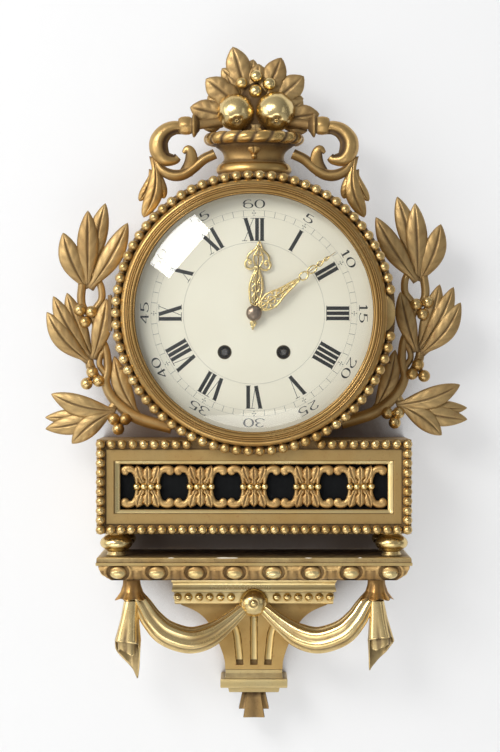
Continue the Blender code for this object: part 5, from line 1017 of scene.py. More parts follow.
edges = [row_of((s * STOP_X, HIGH_Z), (s * SIDE_X, HIGH_Z), 10.6) for s in (-1, 1)]
edges += [row_of((s * SIDE_X, HIGH_Z), (s * SIDE_X, LOW_Z), 9.5)[1:-1] for s in (-1, 1)]
edges += [row_of((-SIDE_X, LOW_Z), (SIDE_X, LOW_Z), 10.3)]
strips = []
for row in edges:
    backing = row + (0, -2.9, 0)
    # The backing behind each row of beads is given deep painted shade.
    strips.append(patch(carried(backing, oval(2.6, 1.2, 10)), toning_and_shade=0.9))
made("plinth_bead_strips", balls(np.concatenate(edges), STRIP_R, 16, 10) + strips, bead_gilding, "case",
     ["plinth_beads"])

# Fret cloth: black ribbed silk, stretched flat over the back of the opening, behind the fret.

CLOTH_HALF, CLOTH_LOW, CLOTH_HIGH, CLOTH_LEVEL = 140.5, -201.0, -144.5, 90.2


def silk_group():
    """Ribbed silk: fine threads across and along as two sine waves, their crossings as a height and as lighter
    and darker threads, with a faint drift of fading."""
    group = bpy.data.node_groups.new("silk", "ShaderNodeTree")
    for name in ("Warp", "Weft"):
        socket(group, name, "INPUT", "NodeSocketColor")
    for name, kind in (("Colour", "NodeSocketColor"), ("Roughness", "NodeSocketFloat"), ("Height", "NodeSocketFloat")):
        socket(group, name, "OUTPUT", kind)
    nodes, links = group.nodes, group.links
    given = nodes.new("NodeGroupInput")
    result = nodes.new("NodeGroupOutput")
    where = nodes.new("ShaderNodeTexCoord")
    threads = []
    for way, scale in (("X", 260.0), ("Z", 340.0)):
        thread = nodes.new("ShaderNodeTexWave")
        thread.bands_direction = way
        thread.inputs["Scale"].default_value = scale
        thread.inputs["Distortion"].default_value = 0.6
        links.new(where.outputs["Object"], thread.inputs["Vector"])
        threads.append(thread.outputs["Fac"])
    woven = nodes.new("ShaderNodeMath")
    woven.operation = "MULTIPLY"
    links.new(threads[0], woven.inputs[0])
    links.new(threads[1], woven.inputs[1])
    fading = nodes.new("ShaderNodeTexNoise")
    fading.inputs["Scale"].default_value = 60.0
    links.new(where.outputs["Object"], fading.inputs["Vector"])
    shade = nodes.new("ShaderNodeMath")
    shade.operation = "MULTIPLY"
    links.new(woven.outputs["Value"], shade.inputs[0])
    links.new(fading.outputs["Fac"], shade.inputs[1])
    tint = nodes.new("ShaderNodeMix")
    tint.data_type = "RGBA"
    links.new(shade.outputs["Value"], tint.inputs["Factor"])
    links.new(given.outputs["Warp"], tint.inputs["A"])
    links.new(given.outputs["Weft"], tint.inputs["B"])
    links.new(tint.outputs["Result"], result.inputs["Colour"])
    dull = nodes.new("ShaderNodeMapRange")
    dull.inputs["To Min"].default_value = 0.95
    dull.inputs["To Max"].default_value = 0.6
    links.new(woven.outputs["Value"], dull.inputs["Value"])
    links.new(dull.outputs["Result"], result.inputs["Roughness"])
    links.new(woven.outputs["Value"], result.inputs["Height"])
    return group


black_silk = surfaced("black_silk", silk_group(),
                      {"Warp": (0.004, 0.0045, 0.005, 1.0), "Weft": (0.020, 0.021, 0.022, 1.0)},
                      0.5, 0.0004)
black_silk.node_tree.nodes["Principled BSDF"].inputs["Sheen Weight"].default_value = 0.02
black_silk.node_tree.nodes["Principled BSDF"].inputs["Specular IOR Level"].default_value = 0.12
run = np.linspace(-1, 1, 90)[None, :] + 0 * np.linspace(-1, 1, 24)[:, None]
rise = np.linspace(-1, 1, 24)[:, None] + 0 * run
silk = np.stack([CLOTH_HALF * run, CLOTH_LEVEL + 0.25 * np.sin(9 * run) * (1 - rise ** 2),
                 (CLOTH_LOW + CLOTH_HIGH) / 2 + (CLOTH_HIGH - CLOTH_LOW) / 2 * rise], -1)
fret_silk = made("fret_silk", [patch(silk, ring=False)], black_silk, "case", ["fret_cloth"])

# Fret: carved and pierced wood, matt gilded. Five tufts of leaves stand up and hang down from rows of four small
# burnished beads, and C scrolls run from each tuft to the next with their volutes meeting in pairs.

FRET_MID, FRET_PITCH, FRET_LEVEL, FRET_HALF = -174.4, 53.6, 93.6, 134.0


def leaf(base, tip, width, level, thick=2.5, arch=3.0, bend=0.0, lobes=0, cut=0.3, veins=0, crease=1.2, droop=0.0,
         stalk=0.12, shape=0.8, cols=17, rows=31, veined=0.35, rib=0.085, blunt=0.85):
    """A carved leaf from base to tip (x, z). Its half width is the sine of the length raised to a power, so that
    the widest place lies before the middle, cut in by lobes. The front is a bow across, lower along the midrib,
    with veins as slanting ripples, on an arch along the length; the back is hollow and thin."""
    s = np.linspace(0.0, 1.0, rows)[:, None]
    t = np.linspace(-1.0, 1.0, cols)[None, :]
    t = np.sign(t) * np.abs(t) ** 1.35
    base, tip = np.asarray(base, float), np.asarray(tip, float)
    along = tip - base
    aside = np.array([-along[1], along[0]]) / np.hypot(*along)
    half = np.maximum(np.sin(np.pi * s ** shape) ** blunt, stalk * (1 - s))
    if lobes:
        half = half * (1 - cut * (1 - np.abs(np.sin(np.pi * (lobes * s + 0.12)))) ** 1.4)
    half = 0.05 + width / 2 * half
    x = base[0] + along[0] * s + aside[0] * (bend * np.sin(np.pi * s) + half * t)
    z = base[1] + along[1] * s + aside[1] * (bend * np.sin(np.pi * s) + half * t)
    swell = np.sqrt(np.clip(2 * half / width, 0, 1))
    groove = np.exp(-(t / rib) ** 2) * np.clip(6 * s, 0, 1) * np.clip(5 * (1 - s), 0, 1)
    ripple = np.cos(2 * np.pi * (veins * s - 0.9 * np.abs(t))) * np.abs(t) * (1 - t ** 2) if veins else 0 * t
    rise = arch * np.sin(np.pi * np.minimum(1.0, 0.9 * s)) + droop * s ** 2
    front = level + rise + thick * swell * (1 - t ** 2) ** 0.6 - crease * swell * groove + veined * swell * ripple
    back = level + rise - 0.7 - 0.2 * thick * swell * (1 - t ** 2)
    # Painted shade along the midrib crease, in the vein troughs and at the base; the back gets a middling painted
    # shade.
    dark = np.clip(0.85 * groove + 1.2 * veined * np.clip(-1.6 * ripple, 0, 1) + np.clip(0.5 - 4 * s, 0, 1), 0, 1)
    turn = slice(None, None, -1)
    points = np.concatenate([np.stack([x, front, z], -1), np.stack([x, back + 0 * x, z], -1)[:, turn]], 1)
    return patch(points, toning_and_shade=np.concatenate([dark + 0 * x, 0.35 + 0 * x], 1))


C_BAND = ((22.8, 13.4, 2.2), (24.2, 16.2, 3.4), (22.0, 17.4, 4.1), (18.4, 17.8, 3.9), (14.8, 16.6, 3.3),
          (12.2, 12.8, 2.6),
          (11.0, 7.0, 2.0), (10.7, 0.0, 1.7))
fret = []
for motif in range(-2, 3):
    x0 = motif * FRET_PITCH
    for side in (-1, 1):
        half_band = np.array(C_BAND)
        whole = np.concatenate([half_band, (half_band * (1, -1, 1))[-2::-1]])
        line = smooth_line(np.stack([x0 + side * whole[:, 0], np.full(len(whole), FRET_LEVEL), FRET_MID + whole[:, 1],
                                     whole[:, 2]], -1), 70)
        line[:, 0] = np.clip(line[:, 0], -FRET_HALF + 1.5, FRET_HALF - 1.5)
        sections = np.stack([oval(w, 2.3, 14) for w in line[:, 3]])
        # Painted shade on the back of each scroll rod.
        fret.append(patch(carried(line[:, :3], sections), toning_and_shade=np.tile(np.clip(-0.6 - np.sin(
            np.arange(14) * 2 * np.pi / 14), 0, 1), (70, 1))))
        for way in (-1, 1):
            eye = (x0 + side * 22.6, FRET_LEVEL + 0.4, FRET_MID + way * 15.4)
            fret += balls([eye], 4.2, 14, 7, (1.0, 0.5, 1.0))
            root = (x0 + side * 4.4, FRET_MID + way * 3.0)
            fret.append(leaf(root, (x0 + side * 10.8, FRET_MID + way * 21.4), 12.4, FRET_LEVEL - 0.6, 2.4, 1.4,
                             -side * way * 1.0, 3, 0.28, 4, 1.3, stalk=0.62, shape=1.45, cols=13, rows=23, rib=0.12))
    for way in (-1, 1):
        fret.append(leaf((x0, FRET_MID + way * 1.0), (x0, FRET_MID + way * 20.8), 11.0, FRET_LEVEL - 0.2, 2.4, 1.6,
                         0.0, 3,
                         0.28, 4, 1.3, stalk=0.62, shape=1.45, cols=13, rows=23, rib=0.12))
fret_gilding = gilt("fret_gilding", (0.60, 0.40, 0.165), (0.49, 0.30, 0.115), 0.40, 0.4, 0.9)
made("fret_scrolls", fret, fret_gilding, "case", ["fret_panel"])
studs = np.array([(motif * FRET_PITCH + k * 7.3, FRET_LEVEL + 2.4, FRET_MID) for motif in range(-2, 3)
                  for k in (-1.5, -0.5, 0.5, 1.5)])
made("fret_studs", balls(studs, 3.75, 16, 10), burnished, "case")

# Feet: four turned buns that lift the plinth off the bracket's shelf, gilded and burnished on the swell.

FOOT_R, FOOT_LOW, FOOT_H = 16.5, -244.2, 24.9
turned_foot = smooth_line([(0.58, 0.0, 0), (0.60, 0.06, 0), (0.53, 0.14, 0), (0.56, 0.20, 0), (0.66, 0.26, 0),
                           (0.90, 0.36, 0),
                           (1.0, 0.52, 0), (0.93, 0.66, 0), (0.78, 0.76, 0), (0.57, 0.84, 0), (0.54, 0.92, 0),
                           (0.56, 1.0, 0)], 46)[:, :2]
buns = []
for foot_x in (-138.8, 138.8):
    for foot_f in (26.0, 90.0):
        shape = np.stack([FOOT_R * turned_foot[:, 0], FOOT_LOW + FOOT_H * turned_foot[:, 1]], -1)
        # Painted shade at the narrow neck and base of each bun.
        dark = np.clip(3.2 * np.abs(turned_foot[:, 1] - 0.5) - 0.9, 0, 1)
        buns.append(patch(revolved(shape, 48, upright=(foot_x, foot_f)), toning_and_shade=0.8 * dark[:, None]))
made("bun_feet", buns, burnished, "case", ["foot_front_left", "foot_front_right", "foot_rear_left", "foot_rear_right"])

# Bracket shelf: one board with a square edge and a bright fillet under it, gilded, worn to the gesso in a few
# places along its upper front edge.


def moulded(half, front, levels, side_steps=3, front_steps=3, relief=None):
    """A moulding that runs round three sides and is flat at the wall: for each level (z, inset, painted shade and
    toning) a ring goes up the left side, along the front and back down the right, drawn in by the inset. Relief gives
    how far each point stands out, from its place along its side, its z and the side's length, and its added painted
    shade."""
    levels = np.asarray(levels, float)
    z, inset, tone = (levels[:, k:k + 1] for k in range(3))
    u, v = np.linspace(0, 1, side_steps)[None, :], np.linspace(-1, 1, front_steps)[None, :]
    x = np.concatenate([-(half - inset) + 0 * u, v * (half - inset), (half - inset) + 0 * u], 1)
    f = np.concatenate([u * (front - inset), (front - inset) + 0 * v, u[:, ::-1] * (front - inset)], 1)
    level = z + 0 * x
    dark = tone + 0 * x
    if relief:
        on_front = slice(side_steps, side_steps + front_steps)
        out, extra = relief(x[:, on_front], level[:, on_front], half)
        f[:, on_front] += out
        dark[:, on_front] += extra
        for part, way in ((slice(0, side_steps), -1), (slice(side_steps + front_steps, None), 1)):
            out, extra = relief(f[:, part] - front / 2, level[:, part], front / 2)
            x[:, part] += way * out
            dark[:, part] += extra
    return patch(np.stack([x, f, level], -1), toning_and_shade=np.clip(dark, 0, 1))


SHELF_HALF, SHELF_FRONT = 158.5, 110.0
# Each step is (z, inset, painted shade and toning); the top behind the front edge, under the plinth, gets deep painted
# shade.
shelf_steps = [(-253.0, 1.2, 0.9), (-253.0, 0.6, 0.4), (-252.6, 0.0, 0.0), (-250.2, 0.0, 0.0), (-249.8, 0.5, 0.5),
               (-249.5, 0.9, 0.9), (-249.0, 0.7, 0.6), (-246.0, 0.9, 0.5), (-245.2, 1.2, 0.3), (-244.7, 2.0, 0.1),
               (-244.5, 3.0, 0.4), (-244.5, 14.0, 0.9), (-244.5, 40.0, 1.0)]
shelf_gilding = gilt("shelf_gilding", (0.76, 0.57, 0.255), (0.62, 0.42, 0.16), 0.28, 0.3, 1.0, 0.9, 0.15)
made("bracket_shelf", [moulded(SHELF_HALF, SHELF_FRONT, shelf_steps, 8, 24)], shelf_gilding, "case", ["shelf"],
     sharp=30)
gesso = surfaced("worn_gesso", ENAMEL, {"Ground": (0.80, 0.76, 0.66, 1.0), "Cloud": (0.70, 0.62, 0.48, 1.0),
                                        "Speck": (0.45, 0.33, 0.18, 1.0)}, 0.4, 0.0004)
gesso.node_tree.nodes["Principled BSDF"].inputs["Roughness"].default_value = 0.8
chips = []
for start, end, deep in ((-38.0, -16.0, 0.75), (-86.0, -80.0, 0.6), (51.0, 58.0, 0.5), (104.0, 108.0, 0.45)):
    x = np.linspace(start, end, 14)
    worn = deep * np.sin(np.linspace(0.12, np.pi - 0.12, 14)) ** 0.6 * (1 + 0.25 * np.sin(7 * x))
    middle = np.stack([x, np.full(14, SHELF_FRONT - 1.45), np.full(14, -245.15)], -1)
    chips.append(patch(carried(middle, oval(1.0, 1.0, 8), worn, up=(0.0, 0.7, 0.7))))
made("shelf_wear", chips, gesso, "case")

# Egg moulding: a sloping band under the shelf, carved with eggs in hollow cups and with darts between them, the
# eggs burnished and the cups and ground darkened with painted shade.

EGG_PITCH, EGG_Z, EGG_WIDE, EGG_TALL = 39.0, -259.9, 9.7, 7.9


def egg_and_dart(run, level, length):
    """The carving's relief: an egg is half an ellipsoid in a cup that is cut all round it, with a raised lip, and a
    dart is a small ridge halfway between two eggs. It fades out towards the corners."""
    nearest = np.round(run / EGG_PITCH - 0.5) + 0.5
    gap = run - nearest * EGG_PITCH
    far = np.sqrt((gap / EGG_WIDE) ** 2 + ((level - EGG_Z) / EGG_TALL) ** 2)
    here = np.abs(nearest * EGG_PITCH) < length - 9
    egg = np.where(far < 0.88, 4.4 * np.sqrt(np.clip(1 - (far / 0.88) ** 2, 0, 1)) - 2.2, 0.0)
    cup = np.where((far >= 0.88) & (far < 1.16), -2.4, 0.0)
    lip = 1.1 * np.exp(-((far - 1.34) / 0.15) ** 2)
    dart_gap = np.abs(np.abs(gap) - EGG_PITCH / 2)
    dart = 1.1 * np.exp(-(dart_gap / 1.6) ** 2) - 1.0 * np.exp(-((dart_gap - 4.2) / 1.1) ** 2)
    dart = np.where(level < -258.0, dart, 0.0)
    # Painted shade in the cups, on the ground below the eggs and beside the darts.
    dark = np.where((far >= 0.80) & (far < 1.2), 0.7, 0.0) + np.where((far >= 1.45) & (level < -258), 0.25, 0.0)
    dark = dark + 0.3 * np.exp(-((dart_gap - 4.2) / 1.4) ** 2) * (level < -258)
    return np.where(here, egg + cup + lip + dart, 0.0), np.where(here, dark, 0.2)


drop = np.linspace(0, 1, 34)
slope = 13.0 * np.interp(drop, (0, 0.2, 0.5, 0.8, 1.0), (0, 0.03, 0.23, 0.60, 1.0))
band_levels = np.stack([-253.3 - 15.4 * drop, 2.5 + slope, np.where(drop > 0.9, 0.5, 0.0)], -1)
made("egg_band", [moulded(SHELF_HALF, SHELF_FRONT, band_levels, 130, 420, egg_and_dart)], fret_gilding, "case",
     ["egg_moulding"])
eggs = []
for i in range(8):
    centre = ((i - 3.5) * EGG_PITCH, 102.6, EGG_Z - 0.2)
    eggs += balls([centre], 1.0, 26, 14, (8.5, 5.6, 6.5))
for side in (-1, 1):
    for f in (SHELF_FRONT / 2 - EGG_PITCH / 2, SHELF_FRONT / 2 + EGG_PITCH / 2):
        eggs += balls([(side * 151.1, f, EGG_Z - 0.2)], 1.0, 22, 12, (5.6, 8.5, 6.5))
made("burnished_eggs", eggs, egg_gilding, "case")

# Console cap: the wide block at the top of the bracket, with a bright cove and a row of small beads on each side of
# the boss.

CAP_HALF, CAP_FRONT = 84.8, 62.0
# Each level is (z, inset, painted shade and toning).
cap_levels = [(-296.4, 4.4, 0.9), (-295.8, 3.8, 0.3), (-294.6, 3.5, 0.3), (-284.8, 3.3, 0.7), (-284.2, 3.2, 1.0),
              (-283.8, 2.0, 1.0), (-283.2, 0.9, 0.5), (-282.0, 0.6, 0.0), (-280.0, 1.3, 0.0), (-276.6, 1.9, 0.0),
              (-274.6, 1.5, 0.1), (-273.8, 0.6, 0.4), (-270.0, 0.1, 0.2), (-269.4, 0.0, 0.4), (-269.0, 0.3, 0.9)]
made("console_cap_block", [moulded(CAP_HALF, CAP_FRONT, cap_levels, 6, 12)], egg_gilding, "case", ["console_cap"],
     sharp=40)
cap_row = np.array([(s * (77.9 - 10.9 * k), 57.6, -289.2) for s in (-1, 1) for k in range(6)])
made("console_beads", balls(cap_row, 4.6, 16, 10), burnished, "case")

# Console body: a solid block that narrows downwards in a hollow curve on both sides, with three flutes cut in its
# face and lined with paler leaf, the outer two bowed outwards at the top.

BODY_TOP, BODY_LOW, BODY_FRONT, BODY_NECK, BODY_FLARE = -296.7, -364.3, 50.0, 29.4, 46.9
FLUTE_HALF, FLUTE_END = 3.7, 0.925


def body_half(share):
    """Half the width at a share of the height from the top down: a curve that flares at the top."""
    bow = smooth_line([(0.0, 1.0, 0), (0.03, 0.93, 0), (0.07, 0.78, 0), (0.15, 0.57, 0), (0.3, 0.36, 0),
                       (0.625, 0.128, 0), (0.855, 0.018, 0), (1.0, 0.0, 0)], 60)
    return BODY_NECK + BODY_FLARE * np.interp(share, bow[:, 0], np.maximum(bow[:, 1], 0))


down = np.linspace(0, 1, 90)[:, None]
half = body_half(down)
side, face = np.linspace(0, 1, 5)[None, :], np.linspace(-1, 1, 121)[None, :]
x = np.concatenate([-half + 0 * side, half * face, half + 0 * side], 1)
f = np.concatenate([BODY_FRONT * side + 0 * half, BODY_FRONT + 0 * half * face, BODY_FRONT * side[:, ::-1] + 0 * half],
                   1)
# Painted shade: a little at the top, under the cap, and deep in the flute channels below.
dark = 0.25 * np.clip(1 - 6 * down, 0, 1) + 0 * x
flutes = []
for way, start in ((-1, 0.29), (0, 0.20), (1, 0.29)):
    bowed = ((0.29, 0.40, 0.50, 0.72, 0.93), (21.5, 18.6, 17.0, 15.5, 14.4))
    near = np.clip(1 - ((x - way * np.interp(down, *bowed)) / FLUTE_HALF) ** 2, 0, 1)
    open_here = ((down > start) & (down < FLUTE_END)) * (np.abs(f - BODY_FRONT) < 1e-6)
    dark = dark + np.where(open_here & (near > 0), 0.95, 0.0)
    f = f - np.where(open_here, 2.9 * np.sqrt(near), 0.0)
    along = np.linspace(start + 0.01, FLUTE_END - 0.075, 40)[:, None]
    turn = np.linspace(0.10, np.pi - 0.10, 11)[None, :]
    flutes.append(patch(np.stack([way * np.interp(along, *bowed) - 3.4 * np.cos(turn),
                                  BODY_FRONT - 2.2 * np.sin(turn) + 0 * along,
                                  BODY_TOP + (BODY_LOW - BODY_TOP) * along + 0 * turn], -1), ring=False))
level = BODY_TOP + (BODY_LOW - BODY_TOP) * down + 0 * x
made("console_block", [patch(np.stack([x, f, level], -1), toning_and_shade=np.clip(dark, 0, 1))], board_gilding, "case",
     ["console_body"], sharp=40)
made("flute_linings", flutes, egg_gilding, "case")

# Console foot: a moulding under the block, with a hollow darkened by painted shade over a bright fillet and a
# smaller step, and below it a pendant of three carved tongues that widen downwards and end square.

# Each level is (z, inset, painted shade and toning).
foot_levels = [(-388.1, 9.4, 0.7), (-387.4, 8.8, 0.35), (-383.6, 8.0, 0.4), (-382.9, 7.2, 1.0), (-382.5, 0.8, 0.6),
               (-381.9, 0.1, 0.0), (-374.4, 0.0, 0.0), (-373.7, 0.5, 0.3), (-373.3, 4.4, 1.0), (-371.6, 5.2, 1.0),
               (-368.4, 5.4, 1.0), (-367.4, 5.4, 0.5), (-364.6, 5.4, 0.4)]
made("console_step", [moulded(34.4, 56.0, foot_levels, 5, 9)], egg_gilding, "case", ["console_foot"],
     sharp=40)


def tongue(top, low, front, back):
    """A flat tapering tongue between (x, half width, z) at its top and at its foot: each level is an oblong with eased
    front corners and a face that is hollowed a little along its middle."""
    run = np.linspace(0, 1, 14)[:, None]
    x, half, z = (top[k] + (low[k] - top[k]) * run for k in range(3))
    across = np.array([-1.0, -1.0, -0.93, -0.5, 0.0, 0.5, 0.93, 1.0, 1.0])
    deep = np.array([back, front - 0.9, front, front - 0.5, front - 0.9, front - 0.5, front, front - 0.9, back])
    points = np.stack([x + half * across, deep + 0 * x, z + 0 * across], -1)
    # Painted shade on the sides, down the middle hollow and at the top, under the step.
    tone = np.array([0.9, 0.8, 0.25, 0.45, 0.7, 0.45, 0.25, 0.8, 0.9]) + np.clip(0.7 - 3 * run, 0, 1)
    return patch(points, toning_and_shade=np.clip(tone, 0, 1))


tongues = [tongue((0.0, 6.9, -388.4), (0.1, 11.0, -414.7), 42.4, 34.0)]
tongues += [tongue((way * 8.0, 3.6, -388.4), (way * 12.6, 2.9, -406.3), 39.6, 23.0) for way in (-1, 1)]
made("pendant_tongues", tongues, matt_gilding, "case", ["console_pendant"], sharp=40)

# Boss: a turned dome with a small button in its middle, planted where the swags meet.

boss_profile = [(13.6, 57.3), (14.6, 58.6), (14.8, 60.4), (14.4, 62.8), (13.2, 65.6), (11.2, 68.2), (8.6, 70.3),
                (5.8, 71.7),
                (4.4, 72.1), (4.0, 71.6), (3.5, 71.7), (3.2, 72.5), (2.2, 73.3), (1.2, 73.6), (0.2, 73.7)]
# Painted shade in the groove round the button and a little at the rim.
boss_tone = np.interp(np.array(boss_profile)[:, 0], (0, 3.2, 3.7, 4.1, 4.5, 13.8, 14.8), (0, 0, 0.9, 0.9, 0, 0, 0.3))
made("rosette", [patch(revolved(boss_profile, 52, centre=(0.0, -294.4)), toning_and_shade=boss_tone[:, None])], burnished, "case",
     ["boss"])

# Drapery: carved cloth, burnished. On each side a swag of long folds hangs from the boss to a flared cuff under the
# shelf. Below the cuff the end of the cloth falls as a roll that opens to the front, over the curled edge of an inner
# layer, and its back runs out in a point.

SWAG_R, TAIL_X, TAIL_F, CUFF_TOP, CUFF_LOW = 13.2, 124.0, 80.0, -269.0, -289.7
SWAG_LINE = ((10.0, 61.5, -300.0, 0.46), (28.0, 66.0, -315.6, 0.70), (46.0, 70.0, -327.2, 0.95),
             (66.0, 74.0, -331.4, 1.03),
             (89.0, 78.0, -323.6, 1.0), (103.0, 80.0, -310.0, 0.86), (111.5, 80.0, -296.5, 0.72),
             (116.8, 80.0, -288.0, 0.60), (121.0, 80.0, -279.0, 0.40))


def folded(count, folds, deep, twist):
    """A round section whose radius ripples with the folds, and a painted shade for each place, darkest in its furrow.
    """
    turn = np.arange(count) * 2 * np.pi / count
    wave = np.cos(folds * turn + twist)
    reach = 1 - deep * (0.5 - 0.5 * wave) ** 1.5
    return np.stack([reach * np.cos(turn), 0.82 * reach * np.sin(turn)], -1), np.clip(-1.2 * wave - 0.35, 0, 1)


def rolled(side, ends, bore, start, dull):
    """One layer of a tail as a thin bell about its axis: its radius follows the drop, and it ends at a different drop
    at each angle, given as (angle, drop) pairs for the left side. It leans out a little."""
    turn = np.arange(72) * 2 * np.pi / 72
    seen = turn if side < 0 else np.mod(np.pi - turn, 2 * np.pi)
    drop = start + (np.interp(seen, *np.array(ends).T) - start) * np.linspace(0, 1, 26)[:, None]
    bell = bore * np.interp(drop, (0, 18, 30, 41, 50, 64, 81), (7.6, 9.2, 11.2, 13.2, 12.6, 11.4, 9.2))
    pleat = np.cos(5 * turn + 0.6) * np.clip(drop / 30, 0, 1)
    reach, thin = bell * (1 + 0.06 * pleat), 1 - 1.3 / bell
    lean = side * (TAIL_X + np.interp(drop, (0, 42, 60, 81), (0.0, 4.4, 4.0, 2.0)))
    skins = [np.stack([lean + r * np.cos(turn), TAIL_F + 0.85 * r * np.sin(turn), CUFF_LOW - drop], -1)
             for r in (reach, thin * reach)]
    # Painted shade: on the outside as much as dull asks, fading to the edge, and in the pleats' furrows; deep on the
    # inside skin.
    edge = np.linspace(0, 1, 26)[:, None] ** 6
    tones = [np.clip(dull * (1 - edge) + np.clip(-1.2 * pleat - 0.2, 0, 1), 0, 1), 0.85 - 0.4 * edge + 0 * turn]
    return patch(np.concatenate([skins[0], skins[1][::-1]]), toning_and_shade=np.concatenate([tones[0], tones[1][::-1]]))


drapery_gilding = gilt("drapery_gilding", (0.95, 0.75, 0.38), (0.66, 0.46, 0.19), 0.17, 0.12, 0.75, 0.94, 0.06)
cuff_gilding = gilt("cuff_gilding", (0.64, 0.38, 0.125), (0.46, 0.24, 0.07), 0.22, 0.3, 1.0, 0.92, 0.1)
OUTER_ENDS = ((0.0, 54.0), (0.35, 45.0), (1.6, 42.5), (2.9, 41.5), (3.3, 47.0), (4.0, 58.0), (4.7, 66.5), (5.5, 76.0),
              (5.85, 80.0), (6.1, 68.0), (6.2832, 54.0))
INNER_ENDS = ((0.0, 48.0), (0.5, 54.5), (1.1, 56.5), (1.7, 53.0), (2.3, 49.5), (2.8, 51.0), (3.2, 52.0), (3.6, 44.0),
              (6.0, 44.0),
              (6.2832, 48.0))
for side, word in ((-1, "left"), (1, "right")):
    line = smooth_line(np.array(SWAG_LINE) * (side, 1, 1, 1), 90)
    twist = side * np.linspace(0.0, 1.3, 90)
    shapes = [folded(64, 6, 0.21, t) for t in twist]
    swag = patch(carried(line[:, :3], np.stack([s[0] for s in shapes]), SWAG_R * line[:, 3]),
                 toning_and_shade=np.stack([s[1] for s in shapes]))
    turn = np.arange(72) * 2 * np.pi / 72
    fall = np.linspace(0, 1, 22)[:, None]
    flare = 16.6 * np.interp(fall, (0, 0.25, 0.6, 0.85, 1.0), (0.52, 0.55, 0.68, 0.88, 1.02))
    scallop = np.cos(7 * turn)[None, :]
    reach = flare * (1 + 0.075 * fall * scallop)
    low = CUFF_TOP + (CUFF_LOW - CUFF_TOP) * fall - 0.9 * fall ** 3 * (scallop - 1)
    cuff_out = np.stack([side * TAIL_X + reach * np.cos(turn), TAIL_F + 0.85 * reach * np.sin(turn), low + 0 * turn],
                        -1)
    inside = (cuff_out - (side * TAIL_X, TAIL_F, 0)) * (0.90, 0.90, 1.0) + (side * TAIL_X, TAIL_F, 0.6)
    # Painted shade between the scallops and near the top, and deep painted shade on the inside.
    shade = np.clip(-0.9 * scallop * fall, 0, 1) + 0.5 * np.clip(1 - 1.2 * fall, 0, 1)
    cuff = patch(np.concatenate([cuff_out, inside[:8:-1]]),
                 toning_and_shade=np.concatenate([np.clip(shade, 0, 1), np.full((13, 72), 0.9)]))
    short = np.array((1.0, 1.0 if side < 0 else 0.90))
    # The tail's outer roll, and its inner layer given painted shade over its outside.
    tail = [rolled(side, np.array(OUTER_ENDS) * short, 1.0, 0.0, 0.0),
            rolled(side, np.array(INNER_ENDS) * short, 0.80, 26.0, 0.75)]
    made("drapery_" + word + "_folds", [swag, *tail], drapery_gilding, "case", ["drapery_" + word])
    made("drapery_" + word + "_cuff", [cuff], cuff_gilding, "case")

# Urn: the turned and flattened vase on top of the drum, with a thick rope-twist lip, a hollow neck with a small drop,
# and a swelling foot that is fitted to the drum.

URN_F, URN_DEPTH = 64.0, 0.72
urn_line = [(20.0, 184.6), (35.0, 184.0), (42.0, 182.6), (44.0, 178.4), (43.0, 173.4), (40.0, 172.0), (39.0, 170.4),
            (35.0, 167.6), (32.0, 164.4), (30.6, 160.0), (31.0, 156.6), (32.6, 155.0), (33.2, 153.6), (35.6, 152.6),
            (38.0, 149.0), (38.2, 145.4), (36.2, 142.6), (37.2, 141.0), (38.3, 138.0), (38.3, 129.0)]
urn_shape = smooth_line([(r, z, 0) for r, z in urn_line], 90)[:, :2]
vase = revolved(urn_shape, 96, upright=(0.0, URN_F), depth=URN_DEPTH)
vase[..., 2] = np.maximum(vase[..., 2], np.sqrt(np.maximum(DRUM_CLEAR ** 2 - vase[..., 0] ** 2, 0)))
# Painted shade in the grooves of the turning, in the neck and under the lip.
urn_tone = np.interp(urn_shape[:, 1], (129, 141, 142.6, 146, 153, 154.5, 156.5, 160, 168, 172.4, 174, 184),
                     (0.4, 0.3, 0.9, 0, 0, 0.8, 0.6, 0.35, 0.7, 1.0, 0.6, 0.6))
turn = np.arange(240) * 2 * np.pi / 240
lip = np.stack([44.9 * np.cos(turn), URN_F + URN_DEPTH * 44.9 * np.sin(turn), 178.4 + 0 * turn], -1)
around = np.arange(20) * 2 * np.pi / 20
wave = np.cos(18 * turn[:, None] + around[None, :])
cord = 6.4 * (0.76 + 0.24 * np.abs(np.cos(9 * turn[:, None] + around[None, :] / 2)) ** 0.7)
out = np.stack([np.cos(turn), np.sin(turn)], -1)
rope = lip[:, None] + np.stack([cord * np.cos(around) * out[:, :1], cord * np.cos(around) * out[:, 1:],
                                cord * np.sin(around)], -1)
drop_at = URN_F + URN_DEPTH * 33.0
hung = balls([(0.0, drop_at - 0.5, 159.4)], 3.0, 14, 9)
hung.append(leaf((0.0, 173.0), (0.0, 159.5), 13.0, drop_at + 0.5, 1.8, 0.6, 0.0, 0, 0.0, 3, 0.9,
                 -3.0, 0.9, 0.75, 11, 15))
urn_gilding = gilt("urn_gilding", (0.64, 0.43, 0.16), (0.52, 0.32, 0.11), 0.24, 0.25, 1.0, 0.95, 0.2)
# The rope gets painted shade in the grooves between its strands.
made("vase", [patch(vase, toning_and_shade=urn_tone[:, None]), patch(rope, loop=True, toning_and_shade=np.clip(-1.5 * wave - 0.5, 0, 1))]
     + hung, urn_gilding, "case", ["urn"])

# Fruit: two burnished apples with their eyes turned down, four berries above them, and a fan of matt lobed leaves
# behind, all carved on one core that stands in the vase.

